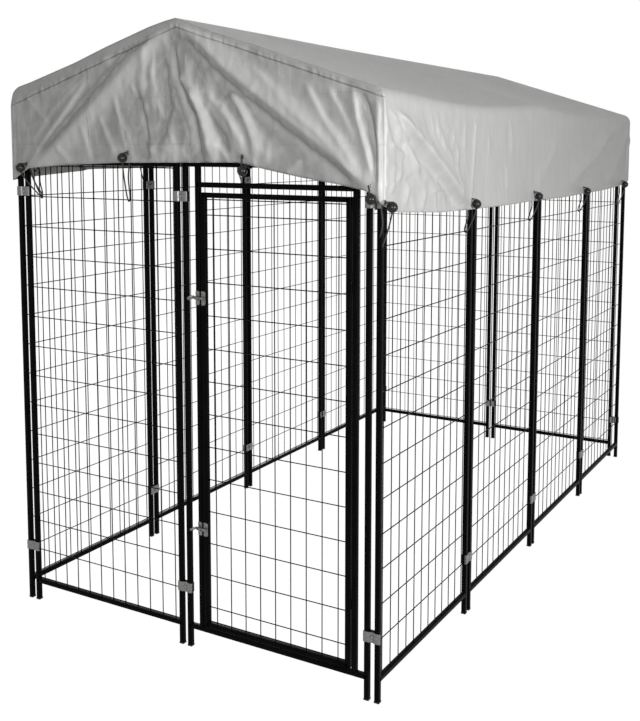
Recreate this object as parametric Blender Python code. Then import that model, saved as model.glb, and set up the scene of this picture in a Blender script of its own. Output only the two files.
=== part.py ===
"""Chicken run: welded-wire panels clamped into a long pen, with one hinged door and a silver rain cover
over three roof hoops.

Metres, +Z up. The front, with the door, faces -Y and the ground is Z = 0. The origin is on the ground
under the middle of the run.
"""

import math

import bmesh
import bpy
from mathutils import Matrix, Vector

# Running gap left between pieces that touch
CLEARANCE = 0.0003

# Square tube of every frame
TUBE = 0.015
TUBE_WALL = 0.0012

# Panels and how they stand together
PANEL_WIDTH = 0.636
PANEL_HEIGHT = 1.500
LEG_HEIGHT = 0.060
POST_GAP = 0.017
CORNER_GAP = 0.018
PANELS_ALONG = 4

# Welded mesh
WIRE = 0.0032
MESH_PITCH_ACROSS = 0.0515
MESH_PITCH_UP = 0.100
MESH_SIDE_MARGIN = 0.012
MESH_BORDER = 0.005

# Foot caps
CAP_HEIGHT = 0.005
CAP_OVERHANG = 0.0008
CAP_CHAMFER = 0.0018

# Door panel
LATCH_POST_TO_JAMB = 0.032
HINGE_POST_TO_JAMB = 0.025
LATCH_SIDE_GAP = 0.006
HINGE_SIDE_GAP = 0.0065
HEADER_DROP = 0.045
DOOR_HEAD_GAP = 0.015
DOOR_SILL_GAP = 0.003
DOOR_MESH_PITCH = 0.053

# Hinges
HINGE_HEIGHTS = {"lower": 0.285, "upper": 1.177}
HINGE_LENGTH = 0.060
HINGE_PIN = 0.0036
HINGE_WELD = 0.003

# Sliding latches
LATCH_HEIGHTS = {"lower": 0.387, "upper": 1.096}
LATCH_PLATE_HEIGHT = 0.042
LATCH_PLATE_WIDTH = 0.0145
LATCH_PLATE_THICKNESS = 0.0015
LATCH_ROD = 0.006
LATCH_RING_RADIUS = 0.0095
LATCH_RING_TO_GUIDE = 0.008
LATCH_RING_DROOP = math.radians(30)
LATCH_RING_RISE = math.radians(10)
LATCH_ROD_PAST_KEEPER = 0.002
LATCH_RIVET_RADIUS = 0.0032
LATCH_RIVET_HEIGHT = 0.0018
LATCH_RIVET_SPREAD = 0.014

# Panel clamps
CLAMP_FROM_GROUND = 0.188
CLAMP_FROM_TOP = 0.103
CLAMP_PLATE_HEIGHT = 0.030
CLAMP_PLATE_THICKNESS = 0.002
CLAMP_CORNER_GRIP = 0.006
CLAMP_RETURN = 0.004
CLAMP_VALLEY_DEPTH = 0.003
CLAMP_VALLEY_WALL = 0.0025
BOLT_SHANK = 0.005
BOLT_HEAD_RADIUS = 0.0052
BOLT_HEAD_HEIGHT = 0.0032
NUT_RADIUS = 0.0055
NUT_THICKNESS = 0.004

# Roof hoops, ridge poles and the saddles between them
ROOF_PITCH = math.radians(17.5)
RIDGE_ABOVE_PANELS = 0.412
HOOP_BEND_RADIUS = 0.045
HOOP_INSERT = 0.080
SADDLE_REACH = 0.030
SADDLE_DEPTH = 0.014
SADDLE_BELOW_CLOTH = 0.003
SADDLE_STOP = 0.0015
SOCKET_LENGTH = 0.028
SOCKET_STEP = 0.001

# Rain cover
COVER_SHEET = 0.0012
COVER_SIDE_SLACK = 0.0095
COVER_END_SLACK = 0.0090
COVER_EAVE_RADIUS = 0.050
LEFT_HEM_DROP = 0.046
RIGHT_HEM_DROP = 0.148
END_HEM_DROP = 0.002
LEFT_CORNER_DROP = 0.060
RIGHT_CORNER_DROP = 0.100
END_HEM_LEFT_RUN = 0.15
END_HEM_RIGHT_RUN = 0.62
ROOF_SAG = 0.006
SKIRT_BILLOW = 0.007
PLEAT_DEPTH = 0.009
PLEAT_PITCH = 0.060
PLEAT_REACH = 0.200
FOLD_HEIGHT = 0.009
FOLD_WIDTH = 0.050
SKIRT_FOLD_RUN = 0.520
SEAM_MARGIN = 0.030

# Worked out from the sizes above
HALF_POST_GAP = POST_GAP / 2
HALF_WIDTH = PANEL_WIDTH + HALF_POST_GAP
SIDE_LENGTH = PANELS_ALONG * PANEL_WIDTH + (PANELS_ALONG - 1) * POST_GAP
HALF_LENGTH = SIDE_LENGTH / 2
SIDE_INNER_FACE = HALF_WIDTH + CORNER_GAP
SIDE_OUTER_FACE = SIDE_INNER_FACE + TUBE
PANEL_STEP = PANEL_WIDTH + POST_GAP
RAIL_TOP = LEG_HEIGHT + TUBE
HEAD_RAIL = PANEL_HEIGHT - TUBE
CLAMP_HEIGHTS = {"lower": CLAMP_FROM_GROUND, "upper": PANEL_HEIGHT - CLAMP_FROM_TOP}
RIDGE_HEIGHT = PANEL_HEIGHT + RIDGE_ABOVE_PANELS
SIDE_HEM_HEIGHTS = {"left": PANEL_HEIGHT - LEFT_HEM_DROP, "right": PANEL_HEIGHT - RIGHT_HEM_DROP}
END_HEM_HEIGHT = PANEL_HEIGHT - END_HEM_DROP
END_HEM_LEFT_CORNER = PANEL_HEIGHT - LEFT_CORNER_DROP
END_HEM_RIGHT_CORNER = PANEL_HEIGHT - RIGHT_CORNER_DROP
FRONT_FACE = -HALF_LENGTH

LATCH_JAMB = TUBE + LATCH_POST_TO_JAMB
HINGE_JAMB = PANEL_WIDTH - TUBE - HINGE_POST_TO_JAMB - TUBE
DOOR_LEFT = LATCH_JAMB + TUBE + LATCH_SIDE_GAP
DOOR_RIGHT = HINGE_JAMB - HINGE_SIDE_GAP
DOOR_BOTTOM = RAIL_TOP + DOOR_SILL_GAP
HEADER_TOP = HEAD_RAIL - HEADER_DROP
DOOR_TOP = HEADER_TOP - TUBE - DOOR_HEAD_GAP
DOOR_PANEL_LEFT = HALF_POST_GAP
DOOR_HINGE_X = DOOR_PANEL_LEFT + HINGE_JAMB - HINGE_SIDE_GAP / 2

HOOP_TUBE = TUBE - 2 * TUBE_WALL - 2 * CLEARANCE
HOOP_X = SIDE_INNER_FACE + TUBE / 2
HOOP_APEX = RIDGE_HEIGHT - (HOOP_TUBE / 2 + CLEARANCE + COVER_SHEET) / math.cos(ROOF_PITCH)
HOOP_PLACES = {
    "front": -HALF_LENGTH + TUBE / 2,
    "middle": -HALF_LENGTH + 2 * PANEL_WIDTH + POST_GAP - TUBE / 2,
    "rear": HALF_LENGTH - TUBE / 2,
}
COVER_SIDE = SIDE_OUTER_FACE + COVER_SIDE_SLACK + COVER_SHEET
COVER_END = HALF_LENGTH + COVER_END_SLACK + COVER_SHEET

POWDER_COAT = ((0.012, 0.012, 0.013), 0.42, 0.0)
BLACK_PLASTIC = ((0.018, 0.018, 0.018), 0.30, 0.0)
ZINC = ((0.46, 0.46, 0.45), 0.38, 1.0)
SILVER_CLOTH = ((0.50, 0.50, 0.49), 0.40, 0.25)


def clear_scene():
    """Removes whatever the file holds, so the build starts empty."""
    for scene_object in list(bpy.data.objects):
        bpy.data.objects.remove(scene_object, do_unlink=True)


def add_object(name, data, look=None, parent=None, matrix=None):
    """Links a mesh or curve as a named object, with a material of its own."""
    part = bpy.data.objects.new(name, data)
    bpy.context.collection.objects.link(part)
    part.parent = parent
    if matrix is not None:
        part.matrix_basis = matrix
    if look is not None:
        colour, roughness, metallic = look
        material = bpy.data.materials.new(name + "_material")
        material.use_nodes = True
        shader = material.node_tree.nodes["Principled BSDF"]
        shader.inputs["Base Color"].default_value = (*colour, 1.0)
        shader.inputs["Roughness"].default_value = roughness
        shader.inputs["Metallic"].default_value = metallic
        material.diffuse_color = (*colour, 1.0)
        data.materials.append(material)
    return part


def mesh_from(name, fill):
    """Makes a mesh by letting fill(bm) add solids to it, with all faces turned outwards."""
    bm = bmesh.new()
    fill(bm)
    bmesh.ops.recalc_face_normals(bm, faces=bm.faces)
    mesh = bpy.data.meshes.new(name)
    bm.to_mesh(mesh)
    bm.free()
    return mesh


def joined(name, fill_base, *steps):
    """One solid made from a base by (operation, fill) steps. Returns its mesh."""
    base = add_object(name + "_base", mesh_from(name, fill_base))
    helpers = [base]
    for operation, fill in steps:
        helper = add_object(name + "_helper", mesh_from(name + "_helper", fill))
        helpers.append(helper)
        step = base.modifiers.new(operation.lower(), "BOOLEAN")
        step.operation = operation
        step.solver = "EXACT"
        step.use_self = operation == "UNION"
        step.object = helper
    graph = bpy.context.evaluated_depsgraph_get()
    mesh = bpy.data.meshes.new_from_object(base.evaluated_get(graph))
    for helper in helpers:
        bpy.data.objects.remove(helper, do_unlink=True)
    return mesh


def add_box(bm, low, high):
    """A plain block between two corners."""
    size = Vector(high) - Vector(low)
    middle = (Vector(high) + Vector(low)) / 2
    scaled = Matrix.Translation(middle) @ Matrix.Diagonal((*size, 1.0))
    bmesh.ops.create_cube(bm, size=1.0, matrix=scaled)


def add_prism(bm, outline, low, high, place=Matrix.Identity(4)):
    """A closed prism: the outline's (x, y) points from z = low to z = high, then placed."""
    bottom = [bm.verts.new(place @ Vector((x, y, low))) for x, y in outline]
    top = [bm.verts.new(place @ Vector((x, y, high))) for x, y in outline]
    bm.faces.new(bottom)
    bm.faces.new(top)
    for i in range(len(outline)):
        j = (i + 1) % len(outline)
        bm.faces.new((bottom[i], bottom[j], top[j], top[i]))


def add_plate(bm, loops, front, back):
    """A flat plate with windows: (x, z) loops, the outline first, from y = front to y = back."""
    edges = {front: [], back: []}
    for loop in loops:
        rings = {}
        for y in (front, back):
            rings[y] = [bm.verts.new((x, y, z)) for x, z in loop]
            for i in range(len(loop)):
                edges[y].append(bm.edges.new((rings[y][i], rings[y][(i + 1) % len(loop)])))
        for i in range(len(loop)):
            j = (i + 1) % len(loop)
            bm.faces.new((rings[front][i], rings[front][j], rings[back][j], rings[back][i]))
    for y in (front, back):
        bmesh.ops.triangle_fill(bm, use_beauty=True, use_dissolve=False, edges=edges[y])


def add_turned(bm, profile, sides, place=Matrix.Identity(4), bored=False):
    """A turned solid: (radius, z) profile points swept round Z in flat sides, then placed.

    A bored profile is a closed loop. Any other is closed by a flat face at each end.
    """
    rings = []
    for radius, height in profile:
        ring = []
        for k in range(sides):
            angle = 2 * math.pi * (k + 0.5) / sides
            point = Vector((radius * math.cos(angle), radius * math.sin(angle), height))
            ring.append(bm.verts.new(place @ point))
        rings.append(ring)
    pairs = list(zip(rings, rings[1:]))
    if bored:
        pairs.append((rings[-1], rings[0]))
    for lower, upper in pairs:
        for k in range(sides):
            n = (k + 1) % sides
            bm.faces.new((lower[k], lower[n], upper[n], upper[k]))
    if not bored:
        bm.faces.new(rings[0])
        bm.faces.new(rings[-1])


def frame_outline(left, right, heights, wall):
    """Outline of a tube frame seen from the front, moved inwards by wall.

    heights are the foot of the uprights, the lower rail's underside, the upper rail's top and the
    head of the uprights, already moved. Where two are the same, that end is level.
    """
    foot, rail_under, rail_top, head = heights
    outer_left = left + wall
    inner_left = left + TUBE - wall
    inner_right = right - TUBE + wall
    outer_right = right - wall
    points = [(outer_left, foot)]
    if rail_under > foot:
        points += [(inner_left, foot), (inner_left, rail_under), (inner_right, rail_under), (inner_right, foot)]
    points += [(outer_right, foot), (outer_right, head)]
    if head > rail_top:
        points += [(inner_right, head), (inner_right, rail_top), (inner_left, rail_top), (inner_left, head)]
    points.append((outer_left, head))
    return points


def window(left, right, low, high, wall):
    """A window of a tube frame, grown by wall."""
    return [(left - wall, low - wall), (right + wall, low - wall),
            (right + wall, high + wall), (left - wall, high + wall)]


def even(start, end, count):
    """count + 1 evenly spaced values."""
    return [start + (end - start) * i / count for i in range(count + 1)]


def spread(low, high, margin, pitch):
    """Places at one pitch between low and high, centred, as many as fit inside the margins."""
    room = high - low - 2 * margin
    gaps = int(room / pitch + 1e-6)
    first = (low + high - gaps * pitch) / 2
    return [first + i * pitch for i in range(gaps + 1)]


def add_wires(bm, left, right, low, high, pitch, levels):
    """Welded wires over a window: uprights on the inner layer, level wires on the outer layer.

    Each wire runs halfway into the tube wall at both ends.
    """
    half = WIRE / 2
    bite = TUBE_WALL / 2
    layer = (WIRE + CLEARANCE) / 2
    inner = TUBE / 2 + layer
    outer = TUBE / 2 - layer
    for x in spread(left, right, MESH_SIDE_MARGIN, pitch):
        add_box(bm, (x - half, inner - half, low - bite), (x + half, inner + half, high + bite))
    for z in levels:
        add_box(bm, (left - bite, outer - half, z - half), (right + bite, outer + half, z + half))


def add_foot_caps(bm):
    """The plastic caps on a panel's two feet."""
    tread = TUBE / 2 + CAP_OVERHANG
    corner = math.sqrt(2)
    profile = [((tread - CAP_CHAMFER) * corner, 0), (tread * corner, CAP_CHAMFER), (tread * corner, CAP_HEIGHT)]
    for x in (TUBE / 2, PANEL_WIDTH - TUBE / 2):
        add_turned(bm, profile, 4, Matrix.Translation((x, TUBE / 2, 0)))


def panel_mesh(name, windows, fill_more):
    """A panel: hollow posts and rails round its windows, its foot caps and whatever fill_more adds."""
    outer_heights = (CAP_HEIGHT / 2, LEG_HEIGHT, PANEL_HEIGHT, PANEL_HEIGHT)
    inner_heights = (2 * CAP_HEIGHT, LEG_HEIGHT + TUBE_WALL, PANEL_HEIGHT - TUBE_WALL, PANEL_HEIGHT + TUBE)

    def fill_base(bm):
        loops = [frame_outline(0, PANEL_WIDTH, outer_heights, 0)]
        add_plate(bm, loops + [window(*sides, 0) for sides in windows], 0, TUBE)

    def fill_bores(bm):
        loops = [frame_outline(0, PANEL_WIDTH, inner_heights, TUBE_WALL)]
        loops += [window(*sides, TUBE_WALL) for sides in windows]
        add_plate(bm, loops, TUBE_WALL, TUBE - TUBE_WALL)

    def fill_rest(bm):
        add_foot_caps(bm)
        fill_more(bm)

    return joined(name, fill_base, ("DIFFERENCE", fill_bores), ("UNION", fill_rest))


def front_place(left):
    """Puts panel axes on the front, with the panel's left edge at x = left."""
    return Matrix.Translation((left, FRONT_FACE, 0))


def back_place(left):
    """Puts panel axes on the back, seen from behind, with the panel's left edge at x = -left."""
    return Matrix.Translation((-left, -FRONT_FACE, 0)) @ Matrix.Rotation(math.pi, 4, "Z")


def right_place(start):
    """Puts panel axes on the right side, with the panel's left edge at start behind the front face."""
    turn = Matrix.Rotation(math.pi / 2, 4, "Z")
    return Matrix.Translation((SIDE_OUTER_FACE, FRONT_FACE + start, 0)) @ turn


def left_place(start):
    """Puts panel axes on the left side, with the panel's left edge at start before the back face."""
    turn = Matrix.Rotation(-math.pi / 2, 4, "Z")
    return Matrix.Translation((-SIDE_OUTER_FACE, -FRONT_FACE - start, 0)) @ turn


def build_panels():
    """The fixed panels. Side panels count from the front."""
    right = PANEL_WIDTH - TUBE
    levels = spread(RAIL_TOP, HEAD_RAIL, MESH_BORDER, MESH_PITCH_UP)

    def fill_wires(bm):
        add_wires(bm, TUBE, right, RAIL_TOP, HEAD_RAIL, MESH_PITCH_ACROSS, levels)

    pattern = panel_mesh("panel", [(TUBE, right, RAIL_TOP, HEAD_RAIL)], fill_wires)
    places = {"front_left": front_place(-HALF_WIDTH)}
    places["back_right"] = back_place(-HALF_WIDTH)
    places["back_left"] = back_place(HALF_POST_GAP)
    for i in range(PANELS_ALONG):
        places[f"right_{i + 1}"] = right_place(i * PANEL_STEP)
        places[f"left_{PANELS_ALONG - i}"] = left_place(i * PANEL_STEP)
    for name, place in places.items():
        add_object(f"panel_{name}", pattern.copy(), POWDER_COAT, matrix=place)


def add_knuckle(bm, low, high, weld_side):
    """A bored hinge knuckle round the hinge axis, and the bead that welds it to the tube on one side."""
    axis_x = HINGE_JAMB - HINGE_SIDE_GAP / 2
    barrel = HINGE_SIDE_GAP / 2 - CLEARANCE
    bore = HINGE_PIN / 2 + CLEARANCE
    profile = [(bore, low), (barrel, low), (barrel, high), (bore, high)]
    add_turned(bm, profile, 8, Matrix.Translation((axis_x, 0, 0)), bored=True)
    near = axis_x + weld_side * (barrel + bore) / 2
    far = axis_x + weld_side * (HINGE_SIDE_GAP + TUBE_WALL) / 2
    start = (min(near, far), TUBE_WALL / 2, low + CLEARANCE)
    add_box(bm, start, (max(near, far), TUBE_WALL / 2 + HINGE_WELD, high - CLEARANCE))


def build_door_panel():
    """The door panel: outer posts, rails, two jambs, a header over the doorway and the fixed knuckles."""
    doorway_left = LATCH_JAMB + TUBE
    windows = [
        (TUBE, LATCH_JAMB, RAIL_TOP, HEAD_RAIL),
        (doorway_left, HINGE_JAMB, RAIL_TOP, HEADER_TOP - TUBE),
        (doorway_left, HINGE_JAMB, HEADER_TOP, HEAD_RAIL),
        (HINGE_JAMB + TUBE, PANEL_WIDTH - TUBE, RAIL_TOP, HEAD_RAIL),
    ]

    def fill_knuckles(bm):
        for height in HINGE_HEIGHTS.values():
            add_knuckle(bm, height - HINGE_LENGTH / 2, height - CLEARANCE / 2, 1)

    mesh = panel_mesh("door_panel", windows, fill_knuckles)
    add_object("door_panel_frame", mesh, POWDER_COAT, matrix=front_place(DOOR_PANEL_LEFT))


def build_door():
    """The door leaf with its wires and its knuckles. Its origin is on the hinge axis. Returns it."""
    left = DOOR_LEFT + TUBE
    right = DOOR_RIGHT - TUBE
    low = DOOR_BOTTOM + TUBE
    high = DOOR_TOP - TUBE
    levels = [low + MESH_BORDER, *spread(low, high, MESH_BORDER, MESH_PITCH_UP), high - MESH_BORDER]
    bore_top = DOOR_TOP - TUBE_WALL

    def fill_base(bm):
        heights = (DOOR_BOTTOM, DOOR_BOTTOM, DOOR_TOP, DOOR_TOP)
        loops = [frame_outline(DOOR_LEFT, DOOR_RIGHT, heights, 0), window(left, right, low, high, 0)]
        add_plate(bm, loops, 0, TUBE)

    def fill_bores(bm):
        heights = (DOOR_BOTTOM - TUBE, DOOR_BOTTOM + TUBE_WALL, bore_top, bore_top)
        loops = [frame_outline(DOOR_LEFT, DOOR_RIGHT, heights, TUBE_WALL)]
        loops.append(window(left, right, low, high, TUBE_WALL))
        add_plate(bm, loops, TUBE_WALL, TUBE - TUBE_WALL)

    def fill_rest(bm):
        add_wires(bm, left, right, low, high, DOOR_MESH_PITCH, levels)
        for height in HINGE_HEIGHTS.values():
            add_knuckle(bm, height + CLEARANCE / 2, height + HINGE_LENGTH / 2, -1)

    mesh = joined("door", fill_base, ("DIFFERENCE", fill_bores), ("UNION", fill_rest))
    mesh.transform(Matrix.Translation((DOOR_PANEL_LEFT - DOOR_HINGE_X, 0, 0)))
    place = Matrix.Translation((DOOR_HINGE_X, FRONT_FACE, 0))
    return add_object("door", mesh, POWDER_COAT, matrix=place)


def build_hinge_pins():
    """The pin inside each pair of knuckles."""
    half = HINGE_LENGTH / 2
    for label, height in HINGE_HEIGHTS.items():
        name = f"hinge_pin_{label}"
        pin = mesh_from(name, lambda bm: add_turned(bm, [(HINGE_PIN / 2, -half), (HINGE_PIN / 2, half)], 8))
        add_object(name, pin, ZINC, matrix=Matrix.Translation((DOOR_HINGE_X, FRONT_FACE, height)))


def latch_rod_stand_off():
    """Distance from the tube's face out to the middle of a latch rod."""
    return LATCH_ROD / 2 + 2 * CLEARANCE + LATCH_PLATE_THICKNESS


def latch_plate_outline():
    """A strap plate seen end on, as (-outward, up) points: flat feet and a half-round hump for the rod."""
    steps = 4
    inner = (LATCH_ROD / 2 + CLEARANCE) / math.cos(math.pi / (2 * steps))
    outer = inner + LATCH_PLATE_THICKNESS
    centre = latch_rod_stand_off()
    half = LATCH_PLATE_HEIGHT / 2
    back = CLEARANCE
    front = CLEARANCE + LATCH_PLATE_THICKNESS
    angles = [math.pi * (k / steps - 0.5) for k in range(steps + 1)]
    hollow = [(centre + inner * math.cos(a), inner * math.sin(a)) for a in angles]
    hump = [(centre + outer * math.cos(a), outer * math.sin(a)) for a in reversed(angles)]
    outline = [(back, -half), (back, -inner), *hollow, (back, inner), (back, half)]
    outline += [(front, half), (front, outer), *hump, (front, -outer), (front, -half)]
    return [(-out, up) for out, up in outline]


def latch_plate_mesh():
    """A strap plate with a rivet head above and below its hump."""
    turn = Matrix(((0, 0, 1, 0), (1, 0, 0, 0), (0, 1, 0, 0), (0, 0, 0, 1)))
    half = LATCH_PLATE_WIDTH / 2
    seat = LATCH_PLATE_THICKNESS
    crown = CLEARANCE + LATCH_PLATE_THICKNESS + LATCH_RIVET_HEIGHT
    rim = crown - LATCH_RIVET_HEIGHT / 2
    profile = [(LATCH_RIVET_RADIUS, seat), (LATCH_RIVET_RADIUS, rim), (LATCH_RIVET_RADIUS / 2, crown)]
    outwards = Matrix.Rotation(math.pi / 2, 4, "X")

    def fill_rivets(bm):
        for sign in (-1, 1):
            add_turned(bm, profile, 6, Matrix.Translation((0, 0, sign * LATCH_RIVET_SPREAD)) @ outwards)

    return joined("latch_plate", lambda bm: add_prism(bm, latch_plate_outline(), -half, half, turn),
                  ("UNION", fill_rivets))


def latch_rod_route(reach):
    """The rod from its nose past the keeper to its ring handle, about the guide's middle."""
    nose = reach + LATCH_PLATE_WIDTH / 2 + LATCH_ROD_PAST_KEEPER
    bend = Vector((-LATCH_PLATE_WIDTH / 2 - LATCH_RING_TO_GUIDE, 0, 0))
    along = Vector((-math.cos(LATCH_RING_DROOP), 0, -math.sin(LATCH_RING_DROOP)))
    outward = Vector((0, -math.cos(LATCH_RING_RISE), math.sin(LATCH_RING_RISE)))
    points = [Vector((nose, 0, 0))]
    for angle in even(0, math.radians(295), 10):
        points.append(bend + LATCH_RING_RADIUS * (along * math.sin(angle) + outward * (1 - math.cos(angle))))
    return points


def tube_curve(name, diameter, points):
    """A round closed tube along straight runs between points."""
    curve = bpy.data.curves.new(name, "CURVE")
    curve.dimensions = "3D"
    curve.bevel_depth = diameter / 2
    curve.bevel_resolution = 2
    curve.use_fill_caps = True
    spline = curve.splines.new("POLY")
    spline.points.add(len(points) - 1)
    for place, point in zip(spline.points, points):
        place.co = (*point, 1.0)
    return curve


def build_latches(door):
    """Two sliding latches: guides and rods on the jamb, keepers on the door."""
    jamb_x = DOOR_PANEL_LEFT + LATCH_JAMB + TUBE / 2
    reach = DOOR_LEFT - LATCH_JAMB
    plate = latch_plate_mesh()
    for label, height in LATCH_HEIGHTS.items():
        guide_place = Matrix.Translation((jamb_x, FRONT_FACE, height))
        add_object(f"latch_guide_{label}", plate.copy(), ZINC, matrix=guide_place)
        keeper_place = Matrix.Translation((jamb_x + reach - DOOR_HINGE_X, 0, height))
        add_object(f"latch_keeper_{label}", plate.copy(), ZINC, door, keeper_place)
        name = f"latch_bolt_{label}"
        rod = tube_curve(name, LATCH_ROD, latch_rod_route(reach))
        rod_place = Matrix.Translation((jamb_x, FRONT_FACE - latch_rod_stand_off(), height))
        add_object(name, rod, ZINC, matrix=rod_place)


def clamp_outline(gap):
    """The outer plate seen from above: pads over both posts, a valley between and a return at each end."""
    pad = -CLEARANCE
    outer = pad - CLAMP_PLATE_THICKNESS
    end = TUBE + gap / 2 + CLEARANCE
    shoulder = gap / 2
    floor = shoulder - CLAMP_VALLEY_WALL
    slant = CLAMP_PLATE_THICKNESS * 0.6
    right = [
        (floor, CLAMP_VALLEY_DEPTH),
        (shoulder, pad),
        (end, pad),
        (end, CLAMP_RETURN),
        (end + CLAMP_PLATE_THICKNESS, CLAMP_RETURN),
        (end + CLAMP_PLATE_THICKNESS, outer),
        (shoulder - slant, outer),
        (floor - slant, CLAMP_VALLEY_DEPTH - CLAMP_PLATE_THICKNESS),
    ]
    return right + [(-x, y) for x, y in reversed(right)]


def clamp_mesh(name, gap, grip):
    """A drawn-up clamp: outer plate, inner plate, and the bolt and nut that hold them together.

    grip is how far the inner plate reaches over each post.
    """
    half = CLAMP_PLATE_HEIGHT / 2
    inner_face = TUBE + CLEARANCE
    inner_back = inner_face + CLAMP_PLATE_THICKNESS
    valley = CLAMP_VALLEY_DEPTH - CLAMP_PLATE_THICKNESS
    head_top = valley - BOLT_HEAD_HEIGHT
    shank = BOLT_SHANK / 2
    profile = [
        (BOLT_HEAD_RADIUS / 2, head_top),
        (BOLT_HEAD_RADIUS, head_top + BOLT_HEAD_HEIGHT / 2),
        (BOLT_HEAD_RADIUS, valley + CLEARANCE),
        (shank, valley + CLEARANCE),
        (shank, inner_back - CLEARANCE),
        (NUT_RADIUS, inner_back - CLEARANCE),
        (NUT_RADIUS, inner_back + NUT_THICKNESS),
    ]

    def fill_rest(bm):
        reach = grip + gap / 2
        add_box(bm, (-reach, inner_face, -half), (reach, inner_back, half))
        add_turned(bm, profile, 6, Matrix.Rotation(-math.pi / 2, 4, "X"))

    return joined(name, lambda bm: add_prism(bm, clamp_outline(gap), -half, half), ("UNION", fill_rest))


def build_clamps():
    """Two clamps on every joint between posts."""
    inline = clamp_mesh("clamp_inline", POST_GAP, TUBE)
    corner = clamp_mesh("clamp_corner", CORNER_GAP, CLAMP_CORNER_GRIP)
    corner_x = HALF_WIDTH + CORNER_GAP / 2
    joints = {"front_middle": (inline, front_place(0)), "back_middle": (inline, back_place(0))}
    joints["front_left"] = (corner, front_place(-corner_x))
    joints["front_right"] = (corner, front_place(corner_x))
    joints["back_right"] = (corner, back_place(-corner_x))
    joints["back_left"] = (corner, back_place(corner_x))
    for i in range(1, PANELS_ALONG):
        middle = i * PANEL_STEP - HALF_POST_GAP
        joints[f"right_{i}"] = (inline, right_place(middle))
        joints[f"left_{PANELS_ALONG - i}"] = (inline, left_place(middle))
    for joint, (pattern, place) in joints.items():
        for label, height in CLAMP_HEIGHTS.items():
            lift = Matrix.Translation((0, 0, height))
            add_object(f"clamp_{joint}_{label}", pattern.copy(), ZINC, matrix=place @ lift)


def hoop_route():
    """One hoop in its own plane, from inside its right post over the ridge to inside its left post."""
    steps = 5
    turn = math.pi / 2 - ROOF_PITCH
    eave = HOOP_APEX - HOOP_X * math.tan(ROOF_PITCH)
    tangent = HOOP_BEND_RADIUS * math.tan(turn / 2)
    leg = [Vector((HOOP_X, 0, PANEL_HEIGHT - HOOP_INSERT))]
    for k in range(steps + 1):
        angle = turn * k / steps
        x = HOOP_X - HOOP_BEND_RADIUS * (1 - math.cos(angle))
        leg.append(Vector((x, 0, eave - tangent + HOOP_BEND_RADIUS * math.sin(angle))))
    mirrored = [Vector((-point.x, 0, point.z)) for point in reversed(leg)]
    return leg + [Vector((0, 0, HOOP_APEX))] + mirrored


def saddle_section(half_width, step):
    """A saddle's section seen from the front, under both slopes of the hoop, made thinner by step.

    Points are from the hoop's apex.
    """
    drop = half_width * math.tan(ROOF_PITCH)
    top = (HOOP_TUBE / 2 - SADDLE_BELOW_CLOTH) / math.cos(ROOF_PITCH) - step
    under = step - SADDLE_DEPTH
    return [(-half_width, top - drop), (-half_width, under - drop), (0, under),
            (half_width, under - drop), (half_width, top - drop), (0, top)]


def add_hoop_bore(bm, radius):
    """The hoop's own channel through a saddle, mitred at the apex."""
    sides = 8
    rings = []
    for share in (-1, 0, 1):
        x = share * 2 * SADDLE_REACH
        z = -abs(x) * math.tan(ROOF_PITCH)
        ring = []
        for k in range(sides):
            angle = 2 * math.pi * (k + 0.5) / sides
            up = radius * math.sin(angle) / math.cos(ROOF_PITCH)
            ring.append(bm.verts.new((x, radius * math.cos(angle), z + up)))
        rings.append(ring)
    for lower, upper in zip(rings, rings[1:]):
        for k in range(sides):
            n = (k + 1) % sides
            bm.faces.new((lower[k], lower[n], upper[n], upper[k]))
    bm.faces.new(rings[0])
    bm.faces.new(rings[-1])


def build_roof_frame():
    """Three hoops that stand in the side posts, a saddle under each apex and two ridge poles."""
    route = hoop_route()
    bore = (HOOP_TUBE / 2 + CLEARANCE) / math.cos(math.pi / 8)
    wall = HOOP_TUBE / 2 + CLEARANCE + SADDLE_STOP
    upright = Matrix.Rotation(math.pi / 2, 4, "X")
    sockets = {"front": (-1,), "middle": (-1, 1), "rear": (1,)}
    for label, y in HOOP_PLACES.items():
        name = f"roof_hoop_{label}"
        add_object(name, tube_curve(name, HOOP_TUBE, route), POWDER_COAT, matrix=Matrix.Translation((0, y, 0)))
        name = f"ridge_saddle_{label}"

        def fill_base(bm):
            add_prism(bm, saddle_section(SADDLE_REACH, 0), -wall, wall, upright)

        def fill_sockets(bm, ends=sockets[label]):
            for end in ends:
                span = sorted((end * wall / 2, end * (wall + SOCKET_LENGTH)))
                add_prism(bm, saddle_section(wall, SOCKET_STEP), *span, upright)

        def fill_bores(bm, ends=sockets[label]):
            add_hoop_bore(bm, bore)
            for end in ends:
                along = Matrix.Rotation(end * math.pi / 2, 4, "X")
                add_turned(bm, [(bore, wall), (bore, wall + 2 * SOCKET_LENGTH)], 8, along)

        saddle = joined(name, fill_base, ("UNION", fill_sockets), ("DIFFERENCE", fill_bores))
        add_object(name, saddle, BLACK_PLASTIC, matrix=Matrix.Translation((0, y, HOOP_APEX)))
    stop = wall + CLEARANCE
    for name, start, end in (("ridge_pole_front", "front", "middle"), ("ridge_pole_rear", "middle", "rear")):
        points = [Vector((0, HOOP_PLACES[start] + stop, 0)), Vector((0, HOOP_PLACES[end] - stop, 0))]
        pole_place = Matrix.Translation((0, 0, HOOP_APEX))
        add_object(name, tube_curve(name, HOOP_TUBE, points), POWDER_COAT, matrix=pole_place)


def smooth_step(value):
    """0 below 0, 1 above 1 and an easy curve between."""
    t = min(max(value, 0.0), 1.0)
    return t * t * (3 - 2 * t)


def fold_along(point, start, end):
    """How far a point is on the crest of a straight fold from start to end: 1 on it, fading to 0."""
    run = end - start
    along = min(max((point - start).dot(run) / run.length_squared, 0.0), 1.0)
    distance = (point - start - along * run).length
    return math.exp(-((distance / FOLD_WIDTH) ** 2))


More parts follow.
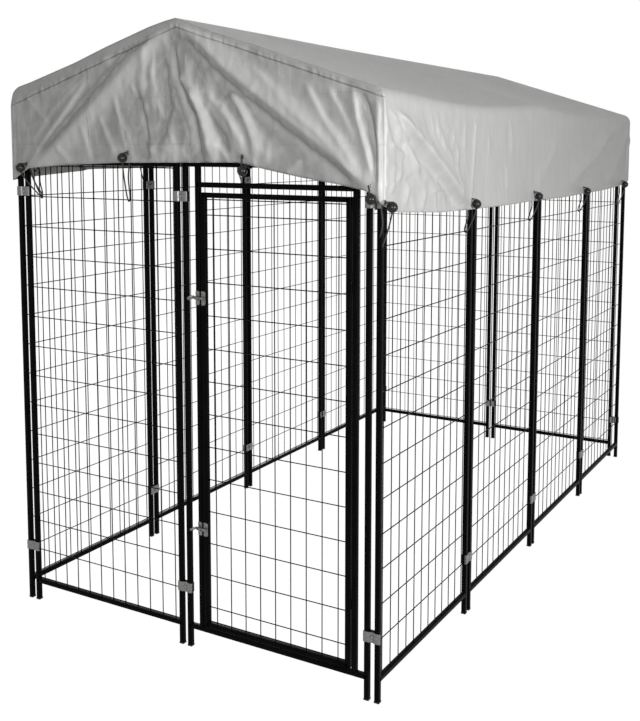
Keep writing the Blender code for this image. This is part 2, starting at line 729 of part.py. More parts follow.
def add_sheet(bm, columns, rows, outer, inner):
    """A closed sheet over a grid. outer and inner give the point for a (column, row) value."""
    top, under = [[[bm.verts.new(surface(u, v)) for v in rows] for u in columns] for surface in (outer, inner)]
    last_column = len(columns) - 1
    last_row = len(rows) - 1
    for i in range(last_column):
        for j in range(last_row):
            for grid in (top, under):
                bm.faces.new((grid[i][j], grid[i + 1][j], grid[i + 1][j + 1]))
                bm.faces.new((grid[i][j], grid[i + 1][j + 1], grid[i][j + 1]))
    for j in (0, last_row):
        for i in range(last_column):
            bm.faces.new((top[i][j], top[i + 1][j], under[i + 1][j], under[i][j]))
    for i in (0, last_column):
        for j in range(last_row):
            bm.faces.new((top[i][j], top[i][j + 1], under[i][j + 1], under[i][j]))


def roof_section(inset):
    """Half of the roof's section from the ridge to the end of the eave bend, inset from its outer face."""
    steps = 3
    turn = math.pi / 2 - ROOF_PITCH
    radius = COVER_EAVE_RADIUS - inset
    side = COVER_SIDE - inset
    ridge = RIDGE_HEIGHT - inset / math.cos(ROOF_PITCH)
    bend_end = ridge - side * math.tan(ROOF_PITCH) - radius * math.tan(turn / 2)
    bend_start_x = side - radius * (1 - math.sin(ROOF_PITCH))
    seam = CLEARANCE / 2
    points = []
    for x in even(seam, bend_start_x, 3)[:-1]:
        points.append((x, ridge - x * math.tan(ROOF_PITCH)))
    for angle in even(turn, 0, steps):
        points.append((side - radius * (1 - math.cos(angle)), bend_end + radius * math.sin(angle)))
    return points


def roof_hang(y):
    """0 over a hoop and 1 half way between two hoops."""
    places = list(HOOP_PLACES.values())
    for start, end in zip(places, places[1:]):
        if start <= y <= end:
            return math.sin(math.pi * (y - start) / (end - start)) ** 2
    return 0.0


def build_roof_cloth():
    """The two roof slopes of the cover, each with its eave bend."""
    outer_section = roof_section(0)
    inner_section = roof_section(COVER_SHEET)
    last = len(outer_section) - 1

    def roof_point(side, section, y, row):
        x, z = section[row]
        return Vector((side * x, y, z - ROOF_SAG * math.sin(math.pi * row / last) * roof_hang(y)))

    for label, side in (("left", -1), ("right", 1)):
        def fill(bm, side=side):
            add_sheet(bm, even(-COVER_END, COVER_END, 12), range(last + 1),
                      lambda y, row: roof_point(side, outer_section, y, row),
                      lambda y, row: roof_point(side, inner_section, y, row))

        name = f"cover_roof_{label}"
        add_object(name, mesh_from(name, fill), SILVER_CLOTH)


def side_ties():
    """Where each skirt is tied down, as distances behind the front face: at its ends and each joint."""
    joints = [i * PANEL_STEP - POST_GAP - TUBE - MESH_SIDE_MARGIN for i in range(1, PANELS_ALONG)]
    return [TUBE + MESH_SIDE_MARGIN, *joints, SIDE_LENGTH - TUBE - MESH_SIDE_MARGIN]


def skirt_offset(y, z, hem):
    """How far a skirt stands out from flat: billows between ties, corner pleats and one slanting fold."""
    top = roof_section(0)[-1][1]
    drop = (top - z) / (top - hem)
    corner = min(y + COVER_END, COVER_END - y)
    calm = smooth_step(corner / SEAM_MARGIN) * smooth_step(drop * 4)
    distance = y - FRONT_FACE
    billow = 0.0
    for start, end in zip(side_ties(), side_ties()[1:]):
        if start < distance < end:
            billow = math.sin(math.pi * (distance - start) / (end - start)) ** 2
    fade = 1 - smooth_step(corner / PLEAT_REACH)
    pleat = 0.5 - 0.5 * math.cos(2 * math.pi * corner / PLEAT_PITCH)
    crest_start = Vector((-COVER_END + SEAM_MARGIN, top))
    crest_end = Vector((-COVER_END + SKIRT_FOLD_RUN, hem))
    fold = fold_along(Vector((y, z)), crest_start, crest_end)
    return calm * (SKIRT_BILLOW * billow * drop + PLEAT_DEPTH * pleat * fade + FOLD_HEIGHT * fold)


def build_skirts():
    """The hanging sides of the cover."""
    top = roof_section(0)[-1][1] - CLEARANCE
    pleats = even(0, PLEAT_REACH, round(2 * PLEAT_REACH / PLEAT_PITCH))
    plain = even(-COVER_END + PLEAT_REACH, COVER_END - PLEAT_REACH, 16)
    columns = [-COVER_END + step for step in pleats[:-1]] + plain
    columns += [COVER_END - step for step in reversed(pleats[:-1])]
    for label, side in (("left", -1), ("right", 1)):
        hem = SIDE_HEM_HEIGHTS[label]

        def skirt_point(inset, y, z, side=side, hem=hem):
            return Vector((side * (COVER_SIDE - inset + skirt_offset(y, z, hem)), y, z))

        def fill(bm, skirt_point=skirt_point, hem=hem):
            add_sheet(bm, columns, even(hem, top, 4),
                      lambda y, z: skirt_point(0, y, z),
                      lambda y, z: skirt_point(COVER_SHEET, y, z))

        name = f"cover_skirt_{label}"
        add_object(name, mesh_from(name, fill), SILVER_CLOTH)


def end_hem(x):
    """Height of an end panel's hem: level in the middle and drawn down to both corners."""
    left = smooth_step((x + COVER_SIDE) / END_HEM_LEFT_RUN)
    right = min(max((COVER_SIDE - x) / END_HEM_RIGHT_RUN, 0.0), 1.0) ** 0.8
    left_drop = (END_HEM_HEIGHT - END_HEM_LEFT_CORNER) * (1 - left)
    right_drop = (END_HEM_HEIGHT - END_HEM_RIGHT_CORNER) * (1 - right)
    return END_HEM_HEIGHT - left_drop - right_drop


def roof_underside(x):
    """Height of the roof cloth's inner face, eave bend included, at x."""
    section = roof_section(COVER_SHEET)
    reach = abs(x)
    for (x0, z0), (x1, z1) in zip(section, section[1:]):
        if x0 <= reach <= x1:
            return z0 + (z1 - z0) * (reach - x0) / (x1 - x0)
    return section[0][1]


def end_offset(x, z):
    """How far an end panel stands out from flat: two folds from the peak and soft upright wrinkles."""
    peak = Vector((0, RIDGE_HEIGHT))
    left = Vector((-COVER_SIDE, END_HEM_LEFT_CORNER))
    right = Vector((COVER_SIDE, END_HEM_RIGHT_CORNER))
    point = Vector((x, z))
    calm = smooth_step(min(COVER_SIDE - abs(x), roof_underside(x) - z) / SEAM_MARGIN)
    fold = fold_along(point, peak, right) + fold_along(point, peak, left)
    wrinkle = 0.5 + 0.5 * math.cos(math.pi * x / PLEAT_PITCH)
    return calm * (FOLD_HEIGHT * fold + 0.3 * PLEAT_DEPTH * wrinkle)


def build_end_cloth():
    """The two end panels of the cover, with their drawn-down hems."""
    edge = COVER_SIDE - COVER_SHEET - CLEARANCE
    columns = even(-edge, edge, 20)
    for label, place in (("front", Matrix.Identity(4)), ("back", Matrix.Scale(-1, 4, (0, 1, 0)))):
        def end_point(inset, x, share, place=place):
            low = end_hem(x)
            z = low + (roof_underside(x) - CLEARANCE - low) * share
            return place @ Vector((x, inset - COVER_END - end_offset(x, z), z))

        def fill(bm, end_point=end_point):
            add_sheet(bm, columns, even(0, 1, 6),
                      lambda x, share: end_point(0, x, share),
                      lambda x, share: end_point(COVER_SHEET, x, share))

        name = f"cover_end_{label}"
        add_object(name, mesh_from(name, fill), SILVER_CLOTH)


def main():
    clear_scene()
    build_panels()
    build_door_panel()
    door = build_door()
    build_hinge_pins()
    build_latches(door)
    build_clamps()
    build_roof_frame()
    build_roof_cloth()
    build_skirts()
    build_end_cloth()


main()
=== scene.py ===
# %% [markdown]
# # Chicken run
# A long pen of black welded-wire panels with one door, clamped together, under a silver rain cover on
# hoops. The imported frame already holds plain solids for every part. This script dresses them: each panel,
# clamp, latch and cloth is made again with the detail that the solids leave out, in the same place and
# riding on the same body. Metres, +Z up. The front, with the door, faces -Y. A panel's own axes run along
# its width (x), inwards from its outer face (y) and up (z), so one panel mesh serves every side.

import math

import bmesh
import bpy
import numpy as np
from mathutils import Matrix, Vector, noise


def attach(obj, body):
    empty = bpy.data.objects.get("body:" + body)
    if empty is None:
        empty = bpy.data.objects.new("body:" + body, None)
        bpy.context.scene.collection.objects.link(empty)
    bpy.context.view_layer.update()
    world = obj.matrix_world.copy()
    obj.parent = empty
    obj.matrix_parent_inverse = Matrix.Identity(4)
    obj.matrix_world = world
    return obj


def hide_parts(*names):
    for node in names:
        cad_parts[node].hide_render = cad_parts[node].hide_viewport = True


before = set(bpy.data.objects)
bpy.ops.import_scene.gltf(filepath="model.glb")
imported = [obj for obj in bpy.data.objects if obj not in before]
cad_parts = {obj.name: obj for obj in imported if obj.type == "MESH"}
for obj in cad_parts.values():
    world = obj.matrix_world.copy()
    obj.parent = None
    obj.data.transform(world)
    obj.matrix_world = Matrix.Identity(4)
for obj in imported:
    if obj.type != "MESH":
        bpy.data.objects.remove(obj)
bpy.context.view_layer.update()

# %% [markdown]
# ## Frame sizes
# The run is set out by its tube and its panels. Each place below follows from these few lengths, as in the
# model's own source, so a wire or a clamp can't drift away from the tube that carries it. Lengths that only
# one piece needs come with that piece.

# %% Frame sizes
TUBE = 0.015
TUBE_CORNER = 0.0018
PANEL_WIDTH = 0.636
PANEL_HEIGHT = 1.500
LEG_HEIGHT = 0.060
POST_GAP = 0.017
CORNER_GAP = 0.018
PANELS_ALONG = 4

HALF_WIDTH = PANEL_WIDTH + POST_GAP / 2
SIDE_LENGTH = PANELS_ALONG * PANEL_WIDTH + (PANELS_ALONG - 1) * POST_GAP
HALF_LENGTH = SIDE_LENGTH / 2
FRONT_FACE = -HALF_LENGTH
SIDE_OUTER_FACE = HALF_WIDTH + CORNER_GAP + TUBE
PANEL_STEP = PANEL_WIDTH + POST_GAP
RAIL_TOP = LEG_HEIGHT + TUBE
HEAD_RAIL = PANEL_HEIGHT - TUBE
print(f"frame {2 * SIDE_OUTER_FACE:.3f} m wide, {2 * HALF_LENGTH:.3f} m long, {PANEL_HEIGHT:.3f} m high")

# %% [markdown]
# ## Camera
# The photograph looks at the run from its front right, from about 1.5 m up. A camera placed by eye would
# show an error of half a degree in the long posts at once, so its place, turn and lens were fitted to the
# posts, rails and wires. The picture is a crop, so the lens is shifted too.

# %% Camera
PHOTO_WIDTH = 640
PHOTO_HEIGHT = 721
FOCAL_PIXELS = 1001.08
OPTICAL_CENTRE = (346.35, 245.00)
CAMERA_PLACE = (1.8948, -3.6520, 1.5428)
CAMERA_YAW = 0.51209
CAMERA_PITCH = 0.09754
CAMERA_ROLL = 0.00323

camera_data = bpy.data.cameras.new("camera")
camera_data.sensor_fit = "VERTICAL"
camera_data.sensor_height = 24.0
camera_data.lens = FOCAL_PIXELS / PHOTO_HEIGHT * camera_data.sensor_height
camera_data.shift_x = ((PHOTO_WIDTH - 1) / 2 - OPTICAL_CENTRE[0]) / PHOTO_HEIGHT
camera_data.shift_y = (OPTICAL_CENTRE[1] - (PHOTO_HEIGHT - 1) / 2) / PHOTO_HEIGHT
camera = bpy.data.objects.new("camera", camera_data)
bpy.context.collection.objects.link(camera)
aim = Matrix.Rotation(CAMERA_YAW, 4, "Z") @ Matrix.Rotation(math.pi / 2 - CAMERA_PITCH, 4, "X")
camera.matrix_world = Matrix.Translation(CAMERA_PLACE) @ aim @ Matrix.Rotation(CAMERA_ROLL, 4, "Z")
bpy.context.scene.camera = camera
print(f"camera lens {camera_data.lens:.2f} mm, shift {camera_data.shift_x:.4f}, {camera_data.shift_y:.4f}")

# %% [markdown]
# ## Shader helpers
# A material is a graph of nodes. Written out link by link it is hard to read, so `Wire` wraps a socket and
# lets shader maths read as arithmetic: 1 - mask adds a node that subtracts. Numbers alone never meet it,
# and are worked out in Python.


# %% A socket with arithmetic
class Wire:
    """A shader socket with arithmetic. Each operator adds its node."""

    def __init__(self, nodes, socket):
        self.nodes = nodes
        self.socket = socket

    def maths(self, operation, *others):
        """Any operation of the maths node."""
        inputs = dict(enumerate((self, *others)))
        return self.nodes.node("ShaderNodeMath", {"operation": operation}, inputs)

    def __add__(self, other):
        return self.maths("ADD", other)

    def __sub__(self, other):
        return self.maths("SUBTRACT", other)

    def __rsub__(self, other):
        return self.nodes.node("ShaderNodeMath", {"operation": "SUBTRACT"}, {0: other, 1: self})

    def __mul__(self, other):
        return self.maths("MULTIPLY", other)

    __radd__ = __add__
    __rmul__ = __mul__

    def size(self):
        """The value without its sign."""
        return self.maths("ABSOLUTE")

    def ramp(self, low, high, start=0.0, end=1.0):
        """Maps low..high to start..end and holds the ends."""
        inputs = {"Value": self, "From Min": low, "From Max": high, "To Min": start, "To Max": end}
        return self.nodes.node("ShaderNodeMapRange", {}, inputs)

    def band(self, centre, width):
        """1 at a value, falling to 0 at a distance from it."""
        return (self - centre).size().ramp(0.0, width, 1.0, 0.0)


# %% [markdown]
# Settings such as a node's operation come first, because they can change which sockets it has. Sockets are
# named, or numbered where a node has several of one name.


# %% A tree that nodes are added to
class Nodes:
    """A node tree that nodes are added to."""

    def __init__(self, tree):
        self.tree = tree

    def node(self, kind, settings, inputs, output=0):
        """Adds a node and returns one of its outputs."""
        made = self.tree.nodes.new(kind)
        for key, value in settings.items():
            setattr(made, key, value)
        for key, value in inputs.items():
            self.feed(made.inputs[key], value)
        return Wire(self, made.outputs[output])

    def feed(self, socket, value):
        """Links a wire or sets a plain value."""
        if isinstance(value, Wire):
            self.tree.links.new(value.socket, socket)
        else:
            socket.default_value = value


# %% [markdown]
# Every finish here starts alike: one Principled shader, with the object's own coordinates for what varies
# over a surface. The object's coordinates need no unwrapping and give the same grain on a clamp and a post.


# %% One finish
class Paint(Nodes):
    """One procedural material round a Principled shader."""

    def __init__(self, name, **fixed):
        self.material = bpy.data.materials.new(name)
        self.material.use_nodes = True
        super().__init__(self.material.node_tree)
        self.shader = self.tree.nodes["Principled BSDF"]
        for socket, value in fixed.items():
            self.shader.inputs[socket.replace("_", " ")].default_value = value
        self.place = self.node("ShaderNodeTexCoord", {}, {}, "Object")

    def scaled(self, x, y, z):
        """The object's own coordinates stretched by three factors."""
        return self.node("ShaderNodeMapping", {}, {"Vector": self.place, "Scale": (x, y, z)})

    def noise(self, scale, detail=2.0, rough=0.5, vector=None):
        inputs = {"Vector": vector or self.place, "Scale": scale, "Detail": detail, "Roughness": rough}
        return self.node("ShaderNodeTexNoise", {}, inputs)

    def colours(self, factor, first, second):
        """A blend of two colours. Each is a wire or a red, green and blue triple."""
        first, second = (c if isinstance(c, Wire) else (*c, 1.0) for c in (first, second))
        return self.node("ShaderNodeMix", {"data_type": "RGBA"}, {0: factor, 6: first, 7: second}, 2)

    def bump(self, height, distance, strength=1.0, normal=None):
        inputs = {"Height": height, "Distance": distance, "Strength": strength}
        if normal is not None:
            inputs["Normal"] = normal
        return self.node("ShaderNodeBump", {}, inputs)

    def set(self, socket, value):
        """Feeds one of the shader's own sockets."""
        self.feed(self.shader.inputs[socket], value)


print("helpers:", ", ".join(kind.__name__ for kind in (Wire, Nodes, Paint)))

# %% [markdown]
# ## Powder coat
# Posts, rails, hoops and wires are steel under satin black powder coat. Black paint shows little but its
# gloss, so a flat black would look like a hole in the picture. A faint orange peel breaks the highlights
# up, and cloudy patches shift the tone and the gloss a little, as handling does. The gloss is kept low,
# because the photograph's blacks are deep.


# %% Powder coat
def powder_coat():
    """Satin black powder coat with a faint orange peel and a cloudy gloss."""
    paint = Paint("black_powder_coat", Metallic=0.0, IOR=1.5, Specular_IOR_Level=0.02)
    peel = paint.noise(900.0, 2.0)
    cloud = paint.noise(14.0, 4.0, 0.6)
    black = paint.colours(cloud.ramp(0.35, 0.75), (0.0012, 0.0012, 0.0013), (0.0030, 0.0030, 0.0033))
    paint.set("Base Color", black)
    paint.set("Roughness", cloud.ramp(0.3, 0.7, 0.30, 0.42))
    paint.set("Normal", paint.bump(peel, 0.00015, 0.35))
    return paint.material


BLACK = powder_coat()
print("made", BLACK.name)

# %% [markdown]
# ## Plastic and elastic
# Foot caps, saddles and the balls of the ties are moulded plastic, a shade lighter and shinier than the
# paint, with a fine grain from the mould. The loops are braided elastic. Its braid is too fine to model, so
# a diagonal wave stands for it in the colour and in the bump.


# %% Plastic and elastic
def black_plastic():
    """Moulded black plastic with a fine grain."""
    paint = Paint("black_plastic", Metallic=0.0, IOR=1.48, Specular_IOR_Level=0.25)
    mould = paint.noise(1400.0, 2.0)
    cloud = paint.noise(60.0, 3.0)
    paint.set("Base Color", paint.colours(cloud, (0.005, 0.005, 0.005), (0.011, 0.011, 0.011)))
    paint.set("Roughness", cloud.ramp(0.3, 0.7, 0.16, 0.28))
    paint.set("Normal", paint.bump(mould, 0.0001, 0.25))
    return paint.material


def elastic_cord():
    """Black braided elastic."""
    paint = Paint("elastic_cord", Metallic=0.0)
    braid = paint.node("ShaderNodeTexWave", {"wave_type": "BANDS", "bands_direction": "DIAGONAL"},
                       {"Vector": paint.place, "Scale": 350.0, "Distortion": 0.5}, 1)
    paint.set("Base Color", paint.colours(braid, (0.005, 0.005, 0.005), (0.014, 0.014, 0.014)))
    paint.set("Roughness", paint.noise(300.0).ramp(0.2, 0.8, 0.6, 0.8))
    paint.set("Normal", paint.bump(braid, 0.0002, 0.5))
    return paint.material


PLASTIC = black_plastic()
ELASTIC = elastic_cord()
print("made", PLASTIC.name, "and", ELASTIC.name)

# %% [markdown]
# ## Zinc plate
# Clamps and latches are pressed from sheet and plated. A clean metal would turn black or white with
# whatever it mirrors. Plate that has been handled is duller, so its grey drifts with a faint spangle and
# its gloss with upright marks.


# %% Zinc plate
def zinc_plate():
    """Dull zinc with faint spangle and handling marks."""
    paint = Paint("zinc_plate", Metallic=0.85)
    spangle = paint.noise(180.0, 4.0, 0.6)
    marks = paint.noise(55.0, 5.0, 0.7, paint.scaled(1, 1, 6))
    paint.set("Base Color", paint.colours(spangle.ramp(0.3, 0.7), (0.12, 0.12, 0.118), (0.22, 0.22, 0.216)))
    paint.set("Roughness", marks.ramp(0.3, 0.7, 0.24, 0.46))
    paint.set("Normal", paint.bump(spangle, 0.0002, 0.3))
    return paint.material


ZINC = zinc_plate()
print("made", ZINC.name)

# %% [markdown]
# ## Silver cloth
# The cover is a woven sheet with a silver coating. A picture of cloth would stretch over the folds, so each
# mark is its own procedural layer: the weave, a fine crumple, streaks of uneven gloss, the creases it was
# packed with, the stitched line under the roof edge and the seams at the ends. Seams and creases are placed
# by the cover's real outline, so they stay on its edges. The large folds aren't here: they are geometry.

# %% Cover outline
ROOF_PITCH = math.radians(17.5)
RIDGE_HEIGHT = 1.912
COVER_SIDE = 0.6882
COVER_END = 1.3077
STITCH_DROP = 0.021
STITCH_WIDTH = 0.0035
SEAM_WIDTH = 0.006
SEAM_EDGE = (0.008, 0.004)
SEAM_DARKER = 0.55
PACKING_LEVELS = (1.690, 1.551)
UPRIGHT_CREASES = (-0.345, -0.357)
CREASE_WIDTH = 0.0022
print(f"cover {2 * COVER_SIDE:.3f} m wide, {2 * COVER_END:.3f} m long, ridge at {RIDGE_HEIGHT:.3f} m")


# %% Silver cloth
def cloth_seams(paint, across, along, height, wander):
    """Stitches under the roof edge of the ends and the seams where the ends meet the sides."""
    on_end = along.ramp(COVER_END - SEAM_EDGE[0], COVER_END - SEAM_EDGE[1])
    on_side = across.ramp(COVER_SIDE - SEAM_EDGE[0], COVER_SIDE - SEAM_EDGE[1])
    below_roof = height + across * math.tan(ROOF_PITCH)
    stitches = (below_roof + wander).band(RIDGE_HEIGHT - STITCH_DROP, STITCH_WIDTH) * on_end
    edge = (along + wander).band(COVER_END - 0.002, SEAM_WIDTH) * (1 - on_side)
    return stitches + edge, on_end, on_side


def silver_cloth():
    """Silver-coated woven sheet: a fine weave, packing creases, seams and uneven gloss."""
    paint = Paint("silver_cloth", IOR=1.45, Specular_IOR_Level=0.05)
    x, y, z = (paint.node("ShaderNodeSeparateXYZ", {}, {0: paint.place}, axis) for axis in range(3))
    streaks = paint.noise(9.0, 6.0, 0.62, paint.scaled(3.2, 3.2, 0.8))
    cloud = paint.noise(5.0, 4.0, 0.6)
    fine = paint.noise(70.0, 4.0, 0.65, paint.scaled(1.0, 1.0, 0.5))
    cells = {"Vector": paint.scaled(1.0, 1.0, 0.55), "Scale": 17.0, "Randomness": 1.0}
    crumple = paint.node("ShaderNodeTexVoronoi", {"feature": "DISTANCE_TO_EDGE"}, cells)
    threads = {"Vector": paint.place, "Scale": 160.0}
    weave = paint.node("ShaderNodeTexWave", {"bands_direction": "Z"}, threads, 1)
    wander = (paint.noise(30.0, 3.0) - 0.5) * 0.004
    seams, on_end, on_side = cloth_seams(paint, x.size(), y.size(), z, wander)
    upper, lower = ((z + wander * 0.5).band(level, CREASE_WIDTH) for level in PACKING_LEVELS)
    on_x, on_y = ((axis + wander).band(at, CREASE_WIDTH) for axis, at in zip((x, y), UPRIGHT_CREASES))
    creases_packed = ((upper + lower) * on_end + on_x + on_y * on_side) * cloud.ramp(0.42, 0.58)
    silver = paint.colours(streaks.ramp(0.34, 0.66), (0.430, 0.430, 0.423), (0.475, 0.475, 0.467))
    paint.set("Base Color", paint.colours(seams * SEAM_DARKER, silver, (0.12, 0.12, 0.12)))
    paint.set("Metallic", cloud.ramp(0.3, 0.7, 0.03, 0.10))
    paint.set("Roughness", (streaks * 0.5 + fine * 0.5).ramp(0.35, 0.65, 0.28, 0.52))
    normal = paint.bump(streaks, 0.008, 0.20)
    normal = paint.bump(crumple.ramp(0.0, 0.16), 0.0012, 0.16, normal)
    normal = paint.bump(fine, 0.0015, 0.4, normal)
    normal = paint.bump(seams, -0.0015, 0.6, normal)
    normal = paint.bump(creases_packed, 0.0016, 0.7, normal)
    paint.set("Normal", paint.bump(weave, 0.0001, 0.15, normal))
    return paint.material


CLOTH = silver_cloth()
print("made", CLOTH.name)

# %% [markdown]
# ## Mesh helpers
# Nearly every metal piece here is a prism along one axis or a turned solid round one. Stock cubes and
# cylinders could be scaled into place, but their edges would be knife sharp. Two helpers build the same
# forms from a drawn section instead, rounded where the real piece is, and each mesh is shaded smooth with
# only its sharp edges kept.


# %% Pieces and meshes
def add_object(name, data, materials, slot, body, matrix=None):
    """Links a piece, gives it its materials and lets it ride on a body."""
    piece = bpy.data.objects.new(name, data)
    bpy.context.collection.objects.link(piece)
    if matrix is not None:
        piece.matrix_world = matrix
    if not data.materials:
        for material in materials:
            data.materials.append(material)
    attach(piece, body)
    return piece


def mesh_from(name, fill, smooth_under=math.radians(40)):
    """A mesh filled by fill(bm), shaded smooth below an edge angle."""
    bm = bmesh.new()
    fill(bm)
    bmesh.ops.recalc_face_normals(bm, faces=bm.faces)
    mesh = bpy.data.meshes.new(name)
    bm.to_mesh(mesh)
    bm.free()
    mesh.shade_smooth()
    mesh.set_sharp_from_angle(angle=smooth_under)
    return mesh


# %% [markdown]
# A section is a list of points round an outline. Pushed along an axis it makes a tube, a wire, a plate or a
# strap. Its faces may take a second material, which a foot cap needs on its post.


# %% Sections and prisms
def rounded_square(size, corner, steps=3):
    """Points round a square with rounded corners, centred."""
    flat = size / 2 - corner
    points = []
    for quarter, (x, y) in enumerate(((1, 1), (-1, 1), (-1, -1), (1, -1))):
        for k in range(steps + 1):
            angle = math.pi / 2 * (quarter + k / steps)
            points.append((x * flat + corner * math.cos(angle), y * flat + corner * math.sin(angle)))
    return points


def circle(radius, sides):
    return [(radius * math.cos(2 * math.pi * k / sides), radius * math.sin(2 * math.pi * k / sides))
            for k in range(sides)]


def add_prism(bm, section, low, high, place=Matrix.Identity(4), slot=0):
    """A closed prism from a section's (x, y) points, z from low to high, then placed."""
    bottom = [bm.verts.new(place @ Vector((x, y, low))) for x, y in section]
    top = [bm.verts.new(place @ Vector((x, y, high))) for x, y in section]
    faces = [bm.faces.new(bottom), bm.faces.new(top)]
    for i in range(len(section)):
        j = (i + 1) % len(section)
        faces.append(bm.faces.new((bottom[i], bottom[j], top[j], top[i])))
    for face in faces:
        face.material_index = slot


print("a rounded tube section has", len(rounded_square(TUBE, TUBE_CORNER)), "points")

# %% [markdown]
# A profile is a list of (radius, place along the axis). Turned round the axis it makes a bolt, a barrel, a
# ball or a rivet, and with six sides a nut. A bored one closes on itself, as an eyelet does.


# %% Turned solids
def add_turned(bm, profile, sides, place=Matrix.Identity(4), bored=False, slot=0):
    """A turned solid from (radius, z) points. A bored profile is a closed loop."""
    rings = []
    for radius, height in profile:
        if radius == 0:
            rings.append([bm.verts.new(place @ Vector((0, 0, height)))])
            continue
        rings.append([bm.verts.new(place @ Vector((x, y, height))) for x, y in circle(radius, sides)])
    pairs = list(zip(rings, rings[1:]))
    if bored:
        pairs.append((rings[-1], rings[0]))
    faces = []
    for lower, upper in pairs:
        for k in range(sides):
            n = (k + 1) % sides
            if len(lower) == 1:
                faces.append(bm.faces.new((lower[0], upper[n], upper[k])))
            elif len(upper) == 1:
                faces.append(bm.faces.new((lower[k], lower[n], upper[0])))
            else:
                faces.append(bm.faces.new((lower[k], lower[n], upper[n], upper[k])))
    if not bored:
        for ring in (rings[0], rings[-1]):
            if len(ring) > 1:
                faces.append(bm.faces.new(ring))
    for face in faces:
        face.material_index = slot


# %% [markdown]
# Wires keep one pitch and share out what is left over at both ends, as a welded sheet that was cut to fit.


# %% Spacing and directions
def spread(low, high, margin, pitch):
    """Places at one pitch between low and high, centred, as many as fit inside the margins."""
    gaps = int((high - low - 2 * margin) / pitch + 1e-6)
    first = (low + high - gaps * pitch) / 2
    return [first + i * pitch for i in range(gaps + 1)]


def even(start, end, count):
    return [start + (end - start) * i / count for i in range(count + 1)]


ALONG_X = Matrix.Rotation(math.pi / 2, 4, "Y")
ALONG_Y = Matrix.Rotation(-math.pi / 2, 4, "X")
OUTWARDS = Matrix.Rotation(math.pi / 2, 4, "X")
print("four even steps:", even(0, 1, 4))

# %% [markdown]
# ## Tubes, wires and foot caps
# Posts and rails are square tube. The mesh is round wire, uprights on the inside and level wires on the
# outside, welded where they cross, which shows as a slight sinking together. An array modifier could repeat
# the wires, but a loop gives them the real spacing from one named pitch, and the door can use it as well.

# %% Tube and wire sizes
WIRE = 0.0032
WIRE_SINK = 0.0003
MESH_PITCH_ACROSS = 0.0515
MESH_PITCH_UP = 0.100
MESH_SIDE_MARGIN = 0.012
MESH_BORDER = 0.005
CAP_HEIGHT = 0.005
CAP_OVERHANG = 0.0008
CAP_TREAD = 0.0012
CAP_TREAD_INSET = 0.0008
print("wires", WIRE, "m thick,", MESH_PITCH_ACROSS, "m apart across and", MESH_PITCH_UP, "m up")


# %% Tubes, wires and foot caps
def add_upright(bm, x, low, high):
    """A square tube standing with its left face at x."""
    place = Matrix.Translation((x + TUBE / 2, TUBE / 2, 0))
    add_prism(bm, rounded_square(TUBE, TUBE_CORNER), low, high, place)


def add_rail(bm, left, right, low):
    """A level square tube with its underside at low."""
    place = Matrix.Translation((0, TUBE / 2, low + TUBE / 2)) @ ALONG_X
    add_prism(bm, rounded_square(TUBE, TUBE_CORNER), left, right, place)


def add_wires(bm, left, right, low, high, pitch, levels):
    """Round welded wires over a window, the uprights behind the level ones."""
    layer = (WIRE - WIRE_SINK) / 2
    end = WIRE / 2
    section = circle(WIRE / 2, 8)
    for x in spread(left, right, MESH_SIDE_MARGIN, pitch):
        add_prism(bm, section, low - end, high + end, Matrix.Translation((x, TUBE / 2 + layer, 0)))
    for z in levels:
        place = Matrix.Translation((0, TUBE / 2 - layer, z)) @ ALONG_X
        add_prism(bm, section, left - end, right + end, place)


def add_foot_cap(bm, x):
    """A moulded cap on a post's foot, with a softened tread."""
    place = Matrix.Translation((x + TUBE / 2, TUBE / 2, 0))
    wide = TUBE + 2 * CAP_OVERHANG
    tread = rounded_square(wide - 2 * CAP_TREAD_INSET, TUBE_CORNER)
    add_prism(bm, tread, 0.0, CAP_TREAD, place, 1)
    add_prism(bm, rounded_square(wide, TUBE_CORNER), CAP_TREAD_INSET, CAP_HEIGHT, place, 1)


print("wires across a panel:", len(spread(TUBE, PANEL_WIDTH - TUBE, MESH_SIDE_MARGIN, MESH_PITCH_ACROSS)))

# %% [markdown]
# ## Panels
# A panel is two posts, two rails and its mesh, and the posts end in short legs. Eleven of the twelve are
# alike, so they share one mesh and differ only in where they stand. Sharing keeps the file light, and a
# change to one panel changes them all, as on the real run.


# %% Places of the panels
def front_place(left):
    return Matrix.Translation((left, FRONT_FACE, 0))


def back_place(left):
    return Matrix.Translation((-left, HALF_LENGTH, 0)) @ Matrix.Rotation(math.pi, 4, "Z")


def right_place(start):
    corner = Matrix.Translation((SIDE_OUTER_FACE, FRONT_FACE + start, 0))
    return corner @ Matrix.Rotation(math.pi / 2, 4, "Z")


def left_place(start):
    corner = Matrix.Translation((-SIDE_OUTER_FACE, HALF_LENGTH - start, 0))
    return corner @ Matrix.Rotation(-math.pi / 2, 4, "Z")


print("the right side starts at", [round(v, 4) for v in right_place(0).translation])

# %% [markdown]
# The places above turn a panel's own axes to each side of the run. Distances along the right side are
# counted from the front and along the left side from the back, so that a panel's outer face points outwards
# on both. The panels themselves are one mesh in eleven places.


# %% Panels
def fill_frame(bm):
    """Posts, rails and foot caps of a panel."""
    for x in (0, PANEL_WIDTH - TUBE):
        add_upright(bm, x, CAP_HEIGHT / 2, PANEL_HEIGHT)
        add_foot_cap(bm, x)
    for low in (LEG_HEIGHT, HEAD_RAIL):
        add_rail(bm, TUBE / 2, PANEL_WIDTH - TUBE / 2, low)


def fill_panel(bm):
    fill_frame(bm)
    levels = spread(RAIL_TOP, HEAD_RAIL, MESH_BORDER, MESH_PITCH_UP)
    add_wires(bm, TUBE, PANEL_WIDTH - TUBE, RAIL_TOP, HEAD_RAIL, MESH_PITCH_ACROSS, levels)


